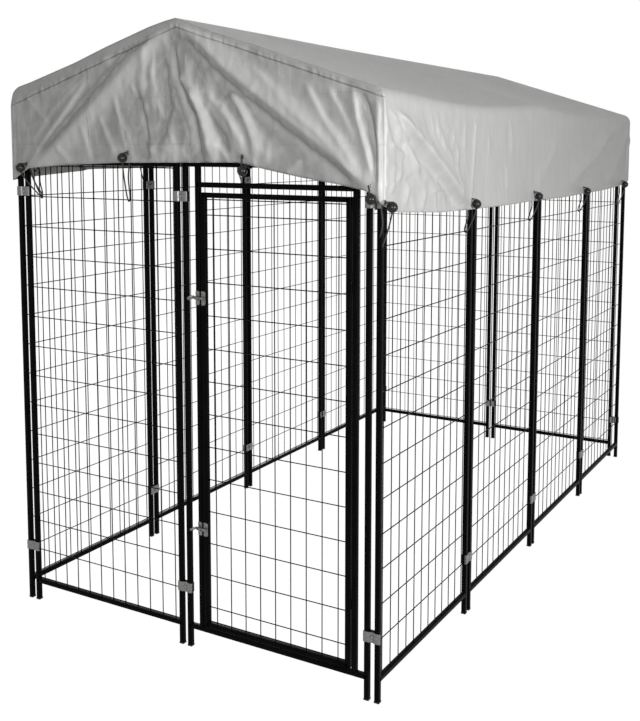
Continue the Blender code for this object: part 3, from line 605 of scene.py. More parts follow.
panel_mesh = mesh_from("panel", fill_panel)
panel_places = {"front_left": front_place(-HALF_WIDTH)}
panel_places["back_right"] = back_place(-HALF_WIDTH)
panel_places["back_left"] = back_place(POST_GAP / 2)
for i in range(PANELS_ALONG):
    panel_places[f"right_{i + 1}"] = right_place(i * PANEL_STEP)
    panel_places[f"left_{PANELS_ALONG - i}"] = left_place(i * PANEL_STEP)
COATED = ((BLACK, PLASTIC), "black_powder_coat")
for name, place in panel_places.items():
    panel = add_object(f"wire_panel_{name}", panel_mesh, *COATED, "run", place)
    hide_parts(f"panel_{name}")
print(len(panel_places), "panels of", len(panel_mesh.polygons), "faces")

# %% [markdown]
# ## Door panel and door
# The twelfth panel holds two jambs and a header in place of its mesh. The door hangs between them on two
# barrel hinges, and rides on a body of its own, so it swings in the poses. The barrels are welded on. A
# weld bead could be a bump, but it is seen from the side against white, so it is a row of small overlapping
# beads in the mesh.

# %% Door sizes
LATCH_POST_TO_JAMB = 0.032
HINGE_POST_TO_JAMB = 0.025
LATCH_SIDE_GAP = 0.006
HINGE_SIDE_GAP = 0.0065
HEADER_DROP = 0.045
DOOR_HEAD_GAP = 0.015
DOOR_SILL_GAP = 0.003
DOOR_MESH_PITCH = 0.053
HINGE_HEIGHTS = {"lower": 0.285, "upper": 1.177}
HINGE_LENGTH = 0.060
KNUCKLE_GAP = 0.0003
KNUCKLE_RIM = 0.0004
WELD_BEADS = 24
WELD_BEAD = 0.0017
WELD_PLACE = (0.0033, 0.0016)

LATCH_JAMB = TUBE + LATCH_POST_TO_JAMB
HINGE_JAMB = PANEL_WIDTH - TUBE - HINGE_POST_TO_JAMB - TUBE
DOOR_LEFT = LATCH_JAMB + TUBE + LATCH_SIDE_GAP
DOOR_RIGHT = HINGE_JAMB - HINGE_SIDE_GAP
DOOR_BOTTOM = RAIL_TOP + DOOR_SILL_GAP
HEADER_TOP = HEAD_RAIL - HEADER_DROP
DOOR_TOP = HEADER_TOP - TUBE - DOOR_HEAD_GAP
DOOR_PANEL_LEFT = POST_GAP / 2
HINGE_X = HINGE_JAMB - HINGE_SIDE_GAP / 2
print(f"door {DOOR_RIGHT - DOOR_LEFT:.3f} x {DOOR_TOP - DOOR_BOTTOM:.3f} m")


# %% Hinge barrels, door panel and door
def add_knuckle(bm, low, high, weld_side):
    """A hinge barrel with a softened rim and its weld bead."""
    radius = HINGE_SIDE_GAP / 2 - KNUCKLE_GAP
    inner = radius - KNUCKLE_RIM
    profile = [(inner, low), (radius, low + KNUCKLE_RIM), (radius, high - KNUCKLE_RIM), (inner, high)]
    add_turned(bm, profile, 20, Matrix.Translation((HINGE_X, 0, 0)))
    for k in range(WELD_BEADS):
        z = low + (high - low) * (k + 0.5) / WELD_BEADS
        spot = Matrix.Translation((HINGE_X + weld_side * WELD_PLACE[0], WELD_PLACE[1], z))
        bmesh.ops.create_icosphere(bm, subdivisions=1, radius=WELD_BEAD, matrix=spot)


def fill_door_panel(bm):
    fill_frame(bm)
    for x in (LATCH_JAMB, HINGE_JAMB):
        add_upright(bm, x, RAIL_TOP - TUBE / 4, HEAD_RAIL + TUBE / 4)
    add_rail(bm, LATCH_JAMB + TUBE / 2, HINGE_JAMB + TUBE / 2, HEADER_TOP - TUBE)
    for height in HINGE_HEIGHTS.values():
        add_knuckle(bm, height - HINGE_LENGTH / 2, height - KNUCKLE_GAP / 2, 1)


def fill_door(bm):
    low = DOOR_BOTTOM + TUBE
    high = DOOR_TOP - TUBE
    for x in (DOOR_LEFT, DOOR_RIGHT - TUBE):
        add_upright(bm, x, DOOR_BOTTOM, DOOR_TOP)
    for z in (DOOR_BOTTOM, DOOR_TOP - TUBE):
        add_rail(bm, DOOR_LEFT + TUBE / 2, DOOR_RIGHT - TUBE / 2, z)
    levels = [low + MESH_BORDER, *spread(low, high, MESH_BORDER, MESH_PITCH_UP), high - MESH_BORDER]
    add_wires(bm, DOOR_LEFT + TUBE, DOOR_RIGHT - TUBE, low, high, DOOR_MESH_PITCH, levels)
    for height in HINGE_HEIGHTS.values():
        add_knuckle(bm, height + KNUCKLE_GAP / 2, height + HINGE_LENGTH / 2, -1)


door_place = front_place(DOOR_PANEL_LEFT)
for name, fill, body, node in (("door_surround", fill_door_panel, "run", "door_panel_frame"),
                               ("door_leaf", fill_door, "door", "door")):
    piece = add_object(name, mesh_from(name, fill), *COATED, body, door_place)
    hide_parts(node)
    print(name, len(piece.data.polygons), "faces")


# %% [markdown]
# ## Clamps
# Neighbouring posts are held together low and high by a clamp: a bent plate over both tubes with a valley
# between them, a flat plate behind, a carriage bolt and a nut. The bent plate is drawn once, seen from
# above, as a section that follows the gap it spans, and pushed up into a prism. A small bevel takes the
# edge off. Bolt, washer and nut are turned from tables of (radius, place along the bolt).

# %% Clamp sizes
CLAMP_HEIGHTS = {"lower": 0.188, "upper": 1.397}
CLAMP_PLATE_HEIGHT = 0.030
CLAMP_PLATE_THICKNESS = 0.002
CLAMP_CORNER_GRIP = 0.006
CLAMP_RETURN = 0.004
CLAMP_VALLEY_DEPTH = 0.003
CLAMP_VALLEY_WALL = 0.0025
CLAMP_FIT = 0.0003
CLAMP_EDGE = 0.0003
BOLT_HEAD = ((0, -0.0032), (0.0026, -0.0029), (0.0043, -0.0020), (0.0052, -0.0006), (0.0052, 0.0002))
BOLT_SHANK = 0.0025
BOLT_TIP = ((0.0024, 0), (0.0024, 0.0038), (0.0018, 0.0042))
WASHER = ((0.0065, 0), (0.0065, 0.0005))
NUT = ((0.0047, 0.0003), (0.0056, 0.0008), (0.0056, 0.0036), (0.0047, 0.0040))
print("clamps", CLAMP_PLATE_HEIGHT, "m high at", CLAMP_HEIGHTS)


# %% Clamp section and bolt
def lifted(profile, base):
    """A turned piece's profile, moved along its axis."""
    return [(radius, base + rise) for radius, rise in profile]


def clamp_outline(gap):
    """Section of a clamp's outer plate with rounded bends, seen from above."""
    outer = -CLAMP_PLATE_THICKNESS
    end = TUBE + gap / 2 + CLAMP_FIT
    shoulder = gap / 2
    floor = shoulder - CLAMP_VALLEY_WALL
    dip = CLAMP_VALLEY_DEPTH
    valley = dip - CLAMP_PLATE_THICKNESS
    side = end + CLAMP_PLATE_THICKNESS
    right = [
        (floor - 0.0004, dip), (floor, dip - 0.0003), (shoulder - 0.0003, 0.0002), (shoulder + 0.0003, 0.0),
        (end, 0.0), (end, CLAMP_RETURN), (side, CLAMP_RETURN), (side, outer + 0.0012),
        (end + 0.0014, outer + 0.0003), (end + 0.0008, outer),
        (shoulder - 0.0006, outer), (shoulder - 0.0013, outer + 0.0003),
        (floor - 0.0010, valley - 0.0003), (floor - 0.0016, valley),
    ]
    return right + [(-x, y) for x, y in reversed(right)]


def fill_clamp(bm, gap, grip):
    """Outer plate, inner plate, carriage bolt and nut."""
    half = CLAMP_PLATE_HEIGHT / 2
    back = TUBE + CLAMP_PLATE_THICKNESS
    seat = CLAMP_VALLEY_DEPTH - CLAMP_PLATE_THICKNESS
    add_prism(bm, clamp_outline(gap), -half, half)
    reach = grip + gap / 2
    face = TUBE + CLAMP_FIT
    add_prism(bm, [(-reach, face), (reach, face), (reach, back), (-reach, back)], -half, half)
    shank = [(BOLT_SHANK, seat + 0.0002), (BOLT_SHANK, back + 0.0002)]
    add_turned(bm, lifted(BOLT_HEAD, seat) + shank, 20, ALONG_Y)
    for profile, sides in ((WASHER, 20), (NUT, 6), (BOLT_TIP, 12)):
        add_turned(bm, lifted(profile, back), sides, ALONG_Y)


print("clamp section of", len(clamp_outline(POST_GAP)), "points")

# %% [markdown]
# There are two clamps. The one between two panels in line grips both posts over their full width. The one
# at a corner bridges a wider gap, and its inner plate grips less of each post. A bevel modifier softens
# their edges, so the section itself stays plain.

# %% Clamps in place
inline_clamp = mesh_from("clamp_inline", lambda bm: fill_clamp(bm, POST_GAP, TUBE))
corner_clamp = mesh_from("clamp_corner", lambda bm: fill_clamp(bm, CORNER_GAP, CLAMP_CORNER_GRIP))
corner_x = HALF_WIDTH + CORNER_GAP / 2
clamp_joints = {
    "front_middle": (inline_clamp, front_place(0)),
    "back_middle": (inline_clamp, back_place(0)),
    "front_left": (corner_clamp, front_place(-corner_x)),
    "front_right": (corner_clamp, front_place(corner_x)),
    "back_right": (corner_clamp, back_place(-corner_x)),
    "back_left": (corner_clamp, back_place(corner_x)),
}
for i in range(1, PANELS_ALONG):
    middle = i * PANEL_STEP - POST_GAP / 2
    clamp_joints[f"right_{i}"] = (inline_clamp, right_place(middle))
    clamp_joints[f"left_{PANELS_ALONG - i}"] = (inline_clamp, left_place(middle))
for joint, (mesh, place) in clamp_joints.items():
    for label, height in CLAMP_HEIGHTS.items():
        lift = Matrix.Translation((0, 0, height))
        clamp = add_object(f"panel_clamp_{joint}_{label}", mesh, (ZINC,), "zinc_plate", "run", place @ lift)
        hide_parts(f"clamp_{joint}_{label}")
        edge = clamp.modifiers.new("softened_edges", "BEVEL")
        edge.width = CLAMP_EDGE
        edge.segments = 2
        edge.limit_method = "ANGLE"
print(len(clamp_joints) * len(CLAMP_HEIGHTS), "clamps")

# %% [markdown]
# ## Latches
# A latch is a round bolt with one end bent to a ring. It slides through a strap on the jamb into a strap on
# the door. The straps are prisms of their end-on section, with a round hump over the bolt, rounded corners
# and two domed rivets. A bent bar is easiest as a curve with a round bevel, which keeps its thickness round
# the bend. Each bolt rides on its own sliding body.

# %% Latch sizes
LATCH_HEIGHTS = {"lower": 0.387, "upper": 1.096}
LATCH_PLATE_HEIGHT = 0.042
LATCH_PLATE_WIDTH = 0.0145
LATCH_PLATE_THICKNESS = 0.0015
LATCH_PLATE_CORNER = 0.0045
LATCH_ROD = 0.006
LATCH_ROD_LIFT = 0.0006
LATCH_ROD_PLAY = 0.0004
LATCH_NOSE = 0.002
LATCH_RING_RADIUS = 0.0095
LATCH_RING_TURN = math.radians(310)
LATCH_RING_TO_GUIDE = 0.008
LATCH_RING_DROOP = math.radians(30)
LATCH_RING_RISE = math.radians(10)
LATCH_RIVET_SPREAD = 0.014
LATCH_RIVET = 0.0032
print("latch bolts", LATCH_ROD, "m thick at", LATCH_HEIGHTS)


# %% Straps
def latch_stand_off():
    """Distance from a tube's face to the middle of a latch rod."""
    return LATCH_ROD / 2 + LATCH_ROD_LIFT + LATCH_PLATE_THICKNESS


def strap_outline():
    """Strap plate seen end on, as (-outward, up): flat feet and a round hump over the rod."""
    inner = LATCH_ROD / 2 + LATCH_ROD_PLAY
    outer = inner + LATCH_PLATE_THICKNESS
    centre = latch_stand_off()
    half = LATCH_PLATE_HEIGHT / 2
    top = LATCH_PLATE_THICKNESS
    angles = even(-math.pi / 2, math.pi / 2, 12)
    hollow = [(centre + inner * math.cos(a), inner * math.sin(a)) for a in angles]
    hump = [(centre + outer * math.cos(a), outer * math.sin(a)) for a in reversed(angles)]
    outline = [(0.0002, -half), (0.0002, -inner), *hollow, (0.0002, inner), (0.0002, half)]
    outline += [(top, half), (top, outer), *hump, (top, -outer), (top, -half)]
    return [(-out, up) for out, up in outline]


def fill_strap(bm):
    """A strap plate with two domed rivets."""
    turn = Matrix(((0, 0, 1, 0), (1, 0, 0, 0), (0, 1, 0, 0), (0, 0, 0, 1)))
    half = LATCH_PLATE_WIDTH / 2
    add_prism(bm, strap_outline(), -half, half, turn)
    bm.normal_update()
    corners = []
    for edge in bm.edges:
        start, end = (vert.co for vert in edge.verts)
        if abs((start - end).normalized().y) > 0.99 and abs(abs(start.z) - LATCH_PLATE_HEIGHT / 2) < 1e-5:
            corners.append(edge)
    bmesh.ops.bevel(bm, geom=corners, offset=LATCH_PLATE_CORNER, segments=4, profile=0.5, affect="EDGES")
    seat = LATCH_PLATE_THICKNESS
    dome = [(LATCH_RIVET, seat - 0.0005), (LATCH_RIVET, seat + 0.0006), (0.0025, seat + 0.0014),
            (0, seat + 0.0019)]
    for sign in (-1, 1):
        add_turned(bm, dome, 16, Matrix.Translation((0, 0, sign * LATCH_RIVET_SPREAD)) @ OUTWARDS)


print("strap section of", len(strap_outline()), "points")


# %% Bolts
def latch_route(reach):
    """The rod from its nose to its ring handle, rounded at the bend."""
    nose = reach + LATCH_PLATE_WIDTH / 2 + LATCH_NOSE
    bend = Vector((-LATCH_PLATE_WIDTH / 2 - LATCH_RING_TO_GUIDE, 0, 0))
    along = Vector((-math.cos(LATCH_RING_DROOP), 0, -math.sin(LATCH_RING_DROOP)))
    outward = Vector((0, -math.cos(LATCH_RING_RISE), math.sin(LATCH_RING_RISE)))
    points = [Vector((x, 0, 0)) for x in even(nose, bend.x, 4)[:-1]]
    for angle in even(0, LATCH_RING_TURN, 18):
        turned = along * math.sin(angle) + outward * (1 - math.cos(angle))
        points.append(bend + LATCH_RING_RADIUS * turned)
    return points


def tube(name, diameter, routes, resolution=4):
    """Round closed tubes through smooth routes."""
    curve = bpy.data.curves.new(name, "CURVE")
    curve.dimensions = "3D"
    curve.bevel_depth = diameter / 2
    curve.bevel_resolution = resolution
    curve.resolution_u = 6
    curve.use_fill_caps = True
    for route in routes:
        spline = curve.splines.new("BEZIER")
        spline.bezier_points.add(len(route) - 1)
        for point, place in zip(spline.bezier_points, route):
            point.co = place
            point.handle_left_type = "AUTO"
            point.handle_right_type = "AUTO"
    return curve


print("bolt route of", len(latch_route(DOOR_LEFT - LATCH_JAMB)), "points")

# %% Latches in place
strap_mesh = mesh_from("latch_strap", fill_strap)
jamb_x = DOOR_PANEL_LEFT + LATCH_JAMB + TUBE / 2
latch_reach = DOOR_LEFT - LATCH_JAMB
for label, height in LATCH_HEIGHTS.items():
    for part, x, body in (("guide", jamb_x, "run"), ("keeper", jamb_x + latch_reach, "door")):
        place = Matrix.Translation((x, FRONT_FACE, height))
        strap = add_object(f"strap_{part}_{label}", strap_mesh, (ZINC,), "zinc_plate", body, place)
        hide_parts(f"latch_{part}_{label}")
    rod_place = Matrix.Translation((jamb_x, FRONT_FACE - latch_stand_off(), height))
    rod_curve = tube(f"latch_rod_{label}", LATCH_ROD, [latch_route(latch_reach)])
    rod = add_object(f"latch_rod_{label}", rod_curve, (ZINC,), "zinc_plate", f"latch_{label}", rod_place)
    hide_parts(f"latch_bolt_{label}")
print("latches at", list(LATCH_HEIGHTS.values()))

# %% [markdown]
# ## Roof frame and pins
# Under the cover stand three hoops, with saddles at their apexes and two ridge poles. They are plain bent
# tube and hardly show, and the hinge pins are plain rods. Their solids already have the right shape, so
# nothing is built over them: they get their finish and smooth shading.

# %% Roof frame and pins
KEPT_FINISHES = {"roof_hoop": BLACK, "ridge_pole": BLACK, "ridge_saddle": PLASTIC, "hinge_pin": ZINC}
kept = 0
for start, material in KEPT_FINISHES.items():
    for name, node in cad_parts.items():
        if name.startswith(start):
            node.data.materials.clear()
            node.data.materials.append(material)
            node.data.shade_smooth()
            node.data.set_sharp_from_angle(angle=math.radians(50))
            kept += 1
print(kept, "solids kept and finished")

# %% [markdown]
# ## Rain cover
# The cover is one cloth: a strip over the ridge with both hanging sides, sewn to two gable ends. Tied down
# along its hem, it hangs in long folds from the peaks to the ties, gathers in pleats at the corners and
# sags between the hoops. A cloth simulation makes believable folds, but its own ones. Here they have to be
# the photograph's, so a fine grid is moved by folds given one by one: each fold is a route with a width and
# a height.

# %% Cover sizes
COVER_SHEET = 0.0008
EAVE_RADIUS = 0.040
EAVE_STEPS = 8
SLOPE_STEPS = 88
SKIRT_STEPS = 44
LENGTH_STEPS = 340
EAVE_SAG = 0.022
SLOPE_SAG = 0.014
LIFTED_LENGTH = 1.2
HOOPS = (-HALF_LENGTH + TUBE / 2, -0.016, HALF_LENGTH - TUBE / 2)
print("cover carried by hoops at", ", ".join(f"{y:.3f}" for y in HOOPS), "m")

# %% [markdown]
# The hem rises and falls from tie to tie, and the front left of the roof stands a little above its straight
# line. Both are tables of (place along, height), read between their points.

# %% Hem and roof tables
END_HEM = (
    (-0.6882, 1.432), (-0.665, 1.444), (-0.640, 1.458), (-0.609, 1.472), (-0.467, 1.484), (-0.216, 1.494),
    (0.215, 1.499), (0.240, 1.496), (0.318, 1.480), (0.433, 1.460), (0.544, 1.444), (0.636, 1.428),
    (0.668, 1.408), (0.6882, 1.390),
)
RIGHT_HEM = (
    (-1.3077, 1.390), (-1.275, 1.376), (-1.218, 1.368), (-0.952, 1.354), (-0.688, 1.349), (-0.457, 1.349),
    (0.206, 1.349), (0.554, 1.352), (0.789, 1.356), (1.140, 1.367), (1.250, 1.374), (1.3077, 1.390),
)
LEFT_HEM = (
    (-1.3077, 1.432), (-1.240, 1.440), (-1.100, 1.449), (-1.000, 1.456), (-0.900, 1.462), (0.900, 1.462),
    (1.240, 1.455), (1.3077, 1.432),
)
ROOF_LIFT = (
    (-0.6882, 0.006), (-0.676, 0.022), (-0.650, 0.029), (-0.600, 0.025), (-0.400, 0.018), (-0.270, 0.020),
    (-0.100, 0.017), (-0.040, 0.012), (0.0, 0.006), (0.134, 0.0), (0.283, 0.003), (0.450, 0.0),
)
LOWEST_HEM = min(height for _, height in RIGHT_HEM)

# %% [markdown]
# The ties come before the folds, because the cloth is drawn in at them. Each is (place along, height of its
# ball, how far its eyelet is along from the ball, and how far above it).

# %% Tie places
RIGHT_BALLS = (
    (-1.293, 1.386, -0.012, 0.012), (-0.705, 1.367, -0.008, 0.016), (-0.095, 1.366, -0.008, 0.016),
    (0.538, 1.362, -0.006, 0.016), (1.175, 1.372, -0.006, 0.016),
)
LEFT_BALLS = (
    (-1.200, 1.458, 0.006, 0.016), (-0.660, 1.480, 0.006, 0.016), (-0.020, 1.480, 0.006, 0.016),
    (0.630, 1.480, 0.006, 0.016), (1.200, 1.472, 0.006, 0.016),
)
END_BALLS = (
    (-0.635, 1.474, 0.013, 0.012), (-0.197, 1.509, 0.008, 0.016), (0.248, 1.476, -0.012, 0.040),
    (0.660, 1.408, -0.014, 0.034),
)
print(len(RIGHT_BALLS) + len(LEFT_BALLS) + 2 * len(END_BALLS), "ties")

# %% [markdown]
# Each fold is a route with the widths of its left and right flanks and its height. A wide flank beside a
# narrow one makes a fold that leans. A valley's height is negative. End routes are (x, z), side routes are
# (y, z), and they run downwards, as the cloth is pulled.

# %% Fold routes
END_FOLDS = (
    (((-0.045, 1.885), (-0.160, 1.808), (-0.272, 1.718), (-0.381, 1.630), (-0.494, 1.541), (-0.612, 1.460)),
     0.011, 0.050, 0.011),
    (((-0.090, 1.870), (-0.190, 1.826), (-0.300, 1.742), (-0.410, 1.654), (-0.520, 1.565), (-0.622, 1.480)),
     0.014, 0.012, -0.006),
    (((-0.352, 1.748), (-0.458, 1.641), (-0.545, 1.556), (-0.616, 1.474)), 0.012, 0.016, 0.008),
    (((-0.349, 1.765), (-0.501, 1.657), (-0.590, 1.560)), 0.008, 0.010, 0.003),
    (((-0.617, 1.705), (-0.529, 1.622)), 0.010, 0.010, 0.0018),
    (((-0.375, 1.614), (-0.336, 1.500)), 0.022, 0.009, 0.0045),
    (((-0.482, 1.548), (-0.431, 1.493)), 0.016, 0.009, 0.0035),
    (((-0.300, 1.640), (-0.262, 1.560), (-0.232, 1.505)), 0.020, 0.010, 0.0040),
    (((-0.235, 1.700), (-0.215, 1.600), (-0.190, 1.530)), 0.018, 0.009, 0.0035),
    (((-0.145, 1.720), (-0.132, 1.650), (-0.120, 1.600), (-0.110, 1.502)), 0.030, 0.011, -0.010),
    (((-0.115, 1.845), (-0.125, 1.709)), 0.020, 0.008, 0.0050),
    (((-0.172, 1.735), (-0.138, 1.685)), 0.014, 0.007, 0.0035),
    (((-0.080, 1.800), (-0.088, 1.770), (-0.086, 1.700), (-0.080, 1.660)), 0.015, 0.008, 0.0045),
    (((-0.042, 1.810), (-0.035, 1.719), (-0.027, 1.659), (-0.041, 1.599), (-0.062, 1.554), (-0.068, 1.505)),
     0.018, 0.011, -0.0065),
    (((-0.010, 1.580), (-0.015, 1.560), (-0.050, 1.530), (-0.060, 1.506)), 0.014, 0.008, 0.0040),
    (((-0.012, 1.850), (0.001, 1.748), (0.030, 1.679), (0.060, 1.628), (0.077, 1.554), (0.088, 1.501)),
     0.030, 0.013, -0.012),
    (((0.007, 1.750), (0.070, 1.699)), 0.012, 0.008, 0.0040),
    (((0.052, 1.715), (0.094, 1.640), (0.112, 1.584), (0.129, 1.520)), 0.016, 0.026, 0.019),
    (((0.082, 1.690), (0.130, 1.628), (0.172, 1.575), (0.190, 1.525)), 0.020, 0.009, -0.0065),
    (((0.107, 1.705), (0.155, 1.655), (0.205, 1.600), (0.222, 1.550)), 0.014, 0.014, 0.0060),
    (((0.164, 1.670), (0.231, 1.575), (0.249, 1.530)), 0.022, 0.009, 0.0085),
    (((0.195, 1.700), (0.243, 1.632), (0.276, 1.559), (0.272, 1.515)), 0.010, 0.028, 0.0120),
    (((0.020, 1.893), (0.088, 1.842), (0.175, 1.768), (0.287, 1.690), (0.395, 1.617), (0.482, 1.558),
      (0.566, 1.499), (0.644, 1.436)), 0.010, 0.052, 0.0115),
    (((-0.010, 1.885), (0.062, 1.828), (0.150, 1.750), (0.262, 1.668), (0.370, 1.594), (0.458, 1.535),
      (0.545, 1.476), (0.620, 1.430)), 0.045, 0.013, -0.007),
    (((0.434, 1.510), (0.384, 1.467)), 0.012, 0.010, 0.0030),
    (((0.330, 1.560), (0.318, 1.492)), 0.018, 0.010, 0.0035),
    (((0.270, 1.770), (0.350, 1.700), (0.400, 1.650)), 0.018, 0.012, 0.0030),
    (((0.448, 1.720), (0.506, 1.620), (0.574, 1.539), (0.610, 1.490)), 0.020, 0.010, 0.0065),
    (((0.385, 1.655), (0.489, 1.583), (0.557, 1.516), (0.610, 1.462)), 0.014, 0.016, 0.0050),
    (((0.520, 1.705), (0.560, 1.640), (0.605, 1.560)), 0.016, 0.009, 0.0050),
    (((0.598, 1.695), (0.610, 1.619), (0.636, 1.545), (0.660, 1.470)), 0.016, 0.010, 0.0110),
    (((0.624, 1.690), (0.652, 1.596), (0.662, 1.539), (0.668, 1.440)), 0.012, 0.009, -0.0095),
    (((0.668, 1.680), (0.672, 1.560), (0.676, 1.420)), 0.009, 0.008, 0.0070),
)
SIDE_FOLDS = (
    (((-1.290, 1.655), (-1.240, 1.606), (-1.190, 1.565), (-1.150, 1.512), (-1.112, 1.473)),
     0.016, 0.020, 0.0110),
    (((-1.278, 1.662), (-1.168, 1.590), (-1.058, 1.532), (-0.969, 1.484), (-0.880, 1.432), (-0.780, 1.370)),
     0.015, 0.050, 0.0160),
    (((-1.262, 1.640), (-1.185, 1.566), (-1.080, 1.510), (-0.990, 1.465), (-0.895, 1.410), (-0.815, 1.362)),
     0.035, 0.012, -0.0060),
    (((-1.282, 1.556), (-1.240, 1.536), (-1.193, 1.520)), 0.014, 0.008, 0.0060),
    (((-1.240, 1.600), (-1.215, 1.560)), 0.012, 0.008, 0.0045),
    (((-1.205, 1.500), (-1.239, 1.451)), 0.012, 0.008, 0.0060),
    (((-1.155, 1.478), (-1.209, 1.462)), 0.010, 0.008, 0.0040),
    (((-1.260, 1.500), (-1.270, 1.420)), 0.012, 0.008, 0.0060),
    (((-1.170, 1.440), (-1.185, 1.385)), 0.014, 0.010, 0.0045),
    (((-0.950, 1.432), (-1.028, 1.413)), 0.012, 0.008, 0.0040),
    (((-0.912, 1.413), (-0.974, 1.402)), 0.010, 0.008, 0.0030),
    (((-1.060, 1.420), (-1.090, 1.370)), 0.016, 0.010, 0.0045),
    (((-0.990, 1.600), (-0.930, 1.545), (-0.870, 1.500)), 0.020, 0.024, 0.0040),
    (((-0.975, 1.650), (-0.973, 1.580)), 0.010, 0.007, 0.0028),
    (((-0.948, 1.590), (-0.935, 1.530)), 0.012, 0.007, 0.0030),
    (((-0.847, 1.590), (-0.871, 1.535)), 0.012, 0.008, 0.0032),
    (((-0.812, 1.545), (-0.837, 1.486), (-0.821, 1.405)), 0.014, 0.008, 0.0034),
    (((-0.765, 1.640), (-0.770, 1.540)), 0.012, 0.008, 0.0024),
    (((-0.673, 1.640), (-0.690, 1.511), (-0.714, 1.377)), 0.014, 0.008, 0.0042),
    (((-0.560, 1.590), (-0.566, 1.520)), 0.012, 0.008, 0.0020),
    (((-0.358, 1.640), (-0.353, 1.530)), 0.014, 0.008, 0.0034),
    (((-0.408, 1.485), (-0.402, 1.400)), 0.014, 0.008, 0.0030),
    (((0.150, 1.560), (0.020, 1.470), (-0.080, 1.400)), 0.040, 0.050, 0.0040),
    (((1.255, 1.700), (1.006, 1.655), (0.810, 1.575), (0.689, 1.515), (0.428, 1.445), (0.293, 1.405)),
     0.050, 0.045, 0.0120),
    (((1.270, 1.640), (1.150, 1.540), (0.980, 1.440), (0.860, 1.390)), 0.050, 0.050, 0.0070),
    (((1.285, 1.620), (1.262, 1.500), (1.245, 1.400)), 0.018, 0.014, 0.0060),
)
print(len(END_FOLDS), "end folds,", len(SIDE_FOLDS), "side folds")

# %% [markdown]
# A field gives the height of the cloth over its flat outline at any place. Fields work on whole arrays of
# places at once, because the cover has a hundred thousand of them. A fold's crest follows its route, and
# its height falls off to both sides and at both ends.


# %% One fold
def smooth_step(value):
    t = np.clip(value, 0.0, 1.0)
    return t * t * (3 - 2 * t)


def fold(u, v, route, left, right, height):
    """The height of one fold over an array of places."""
    near = np.full(u.shape, np.inf)
    turn = np.zeros(u.shape)
    share = np.zeros(u.shape)
    lengths = [math.dist(a, b) for a, b in zip(route, route[1:])]
    passed = 0.0
    for (a, b), length in zip(zip(route, route[1:]), lengths):
        du = (b[0] - a[0]) / length
        dv = (b[1] - a[1]) / length
        along = np.clip((u - a[0]) * du + (v - a[1]) * dv, 0.0, length)
        off_u = u - a[0] - along * du
        off_v = v - a[1] - along * dv
        distance = np.hypot(off_u, off_v)
        closer = distance < near
        near = np.where(closer, distance, near)
        turn = np.where(closer, du * off_v - dv * off_u, turn)
        share = np.where(closer, (passed + along) / sum(lengths), share)
        passed += length
    width = np.where(turn > 0, right, left) * (0.55 + 0.45 * share)
    fade = smooth_step(share / 0.2 + 0.25) * smooth_step((1 - share) / 0.2 + 0.35)
    return height * fade * np.exp(-((near / width) ** 1.5))


crest = fold(np.array([0.0]), np.array([0.5]), ((0.0, 1.0), (0.0, 0.0)), 0.01, 0.01, 0.01)
print(f"a fold of 10 mm stands {float(crest[0]) * 1000:.1f} mm on the middle of its crest")

# %% [markdown]
# Between the folds the cloth is crumpled. Smooth noise alone looks like a pillow. Its absolute value has a
# sharp kink wherever the noise passes through zero. Turned over, the kinks are crests that read as creases.


# %% Crumples
def grain(u, v, seed):
    """Smooth noise, about -1 to 1, over an array of places."""
    flat = [noise.noise(Vector((a, b, seed))) for a, b in zip(u.ravel(), v.ravel())]
    return np.array(flat).reshape(u.shape)


def creases(u, v, seed):
    """Irregular creases with sharp crests, about 0 to 1."""
    return (1 - np.abs(grain(u, v, seed)) * 2.2) ** 3


sample = np.array(even(0, 3, 60))
print(f"creases from {creases(sample, sample, 4.0).min():.2f} to {creases(sample, sample, 4.0).max():.2f}")

# %% [markdown]
# The roof is straight from the ridge and bends over the eave on a small radius. The hems are tables, so one
# helper reads a height anywhere between their points.


# %% Roof section and hems
def half_section():
    """The roof from the ridge to the end of the eave bend as (x, z)."""
    turn = math.pi / 2 - ROOF_PITCH
    bend_end = RIDGE_HEIGHT - COVER_SIDE * math.tan(ROOF_PITCH) - EAVE_RADIUS * math.tan(turn / 2)
    bend_start = COVER_SIDE - EAVE_RADIUS * (1 - math.sin(ROOF_PITCH))
    points = [(x, RIDGE_HEIGHT - x * math.tan(ROOF_PITCH)) for x in even(0, bend_start, SLOPE_STEPS)[:-1]]
    for angle in even(turn, 0, EAVE_STEPS):
        inset = EAVE_RADIUS * (1 - math.cos(angle))
        points.append((COVER_SIDE - inset, bend_end + EAVE_RADIUS * math.sin(angle)))
    return points


SECTION = half_section()
EAVE_END = SECTION[-1][1]


def table(places, pairs):
    return np.interp(places, [at for at, _ in pairs], [value for _, value in pairs])


def roof_height(x):
    """Height of the roof's outer face."""
    return table(np.abs(x), SECTION)


print(f"the roof reaches {len(SECTION)} points down to {EAVE_END:.3f} m")

# %% [markdown]
# The ends and the hanging sides stand out from their flat outline by folds, crumples and pleats at the
# corners. A hanging side swells out between its ties. Everything fades out at the seams, so that the parts
# of the cover still meet there.

# %% Gathers
PLEAT_WIDTH = 0.021
PLEAT_HEIGHT = 0.0020
PUCKER_HEIGHT = 0.0009
GATHER_REACH = 0.045
GATHER_TOP = 1.70
GATHER_LENGTH = 0.30
SEAM_FADE = 0.010
SIDE_FOLD_GAIN = 1.5
TIE_SWELL = 0.008


def gather(corner, down):
    """Pleats drawn together along a corner seam, at a distance from it and a share of its height down."""
    pleat = 0.5 - 0.5 * np.cos(2 * math.pi * corner / PLEAT_WIDTH)
    pucker = 0.5 + 0.5 * np.sin(down * 46.0 + 5.0 * np.sin(down * 17.0))
    near = np.exp(-((corner / GATHER_REACH) ** 2))
    tight = np.exp(-(((corner - 0.012) / 0.010) ** 2))
    return PLEAT_HEIGHT * pleat * near * (0.4 + 0.6 * down) + PUCKER_HEIGHT * pucker * tight


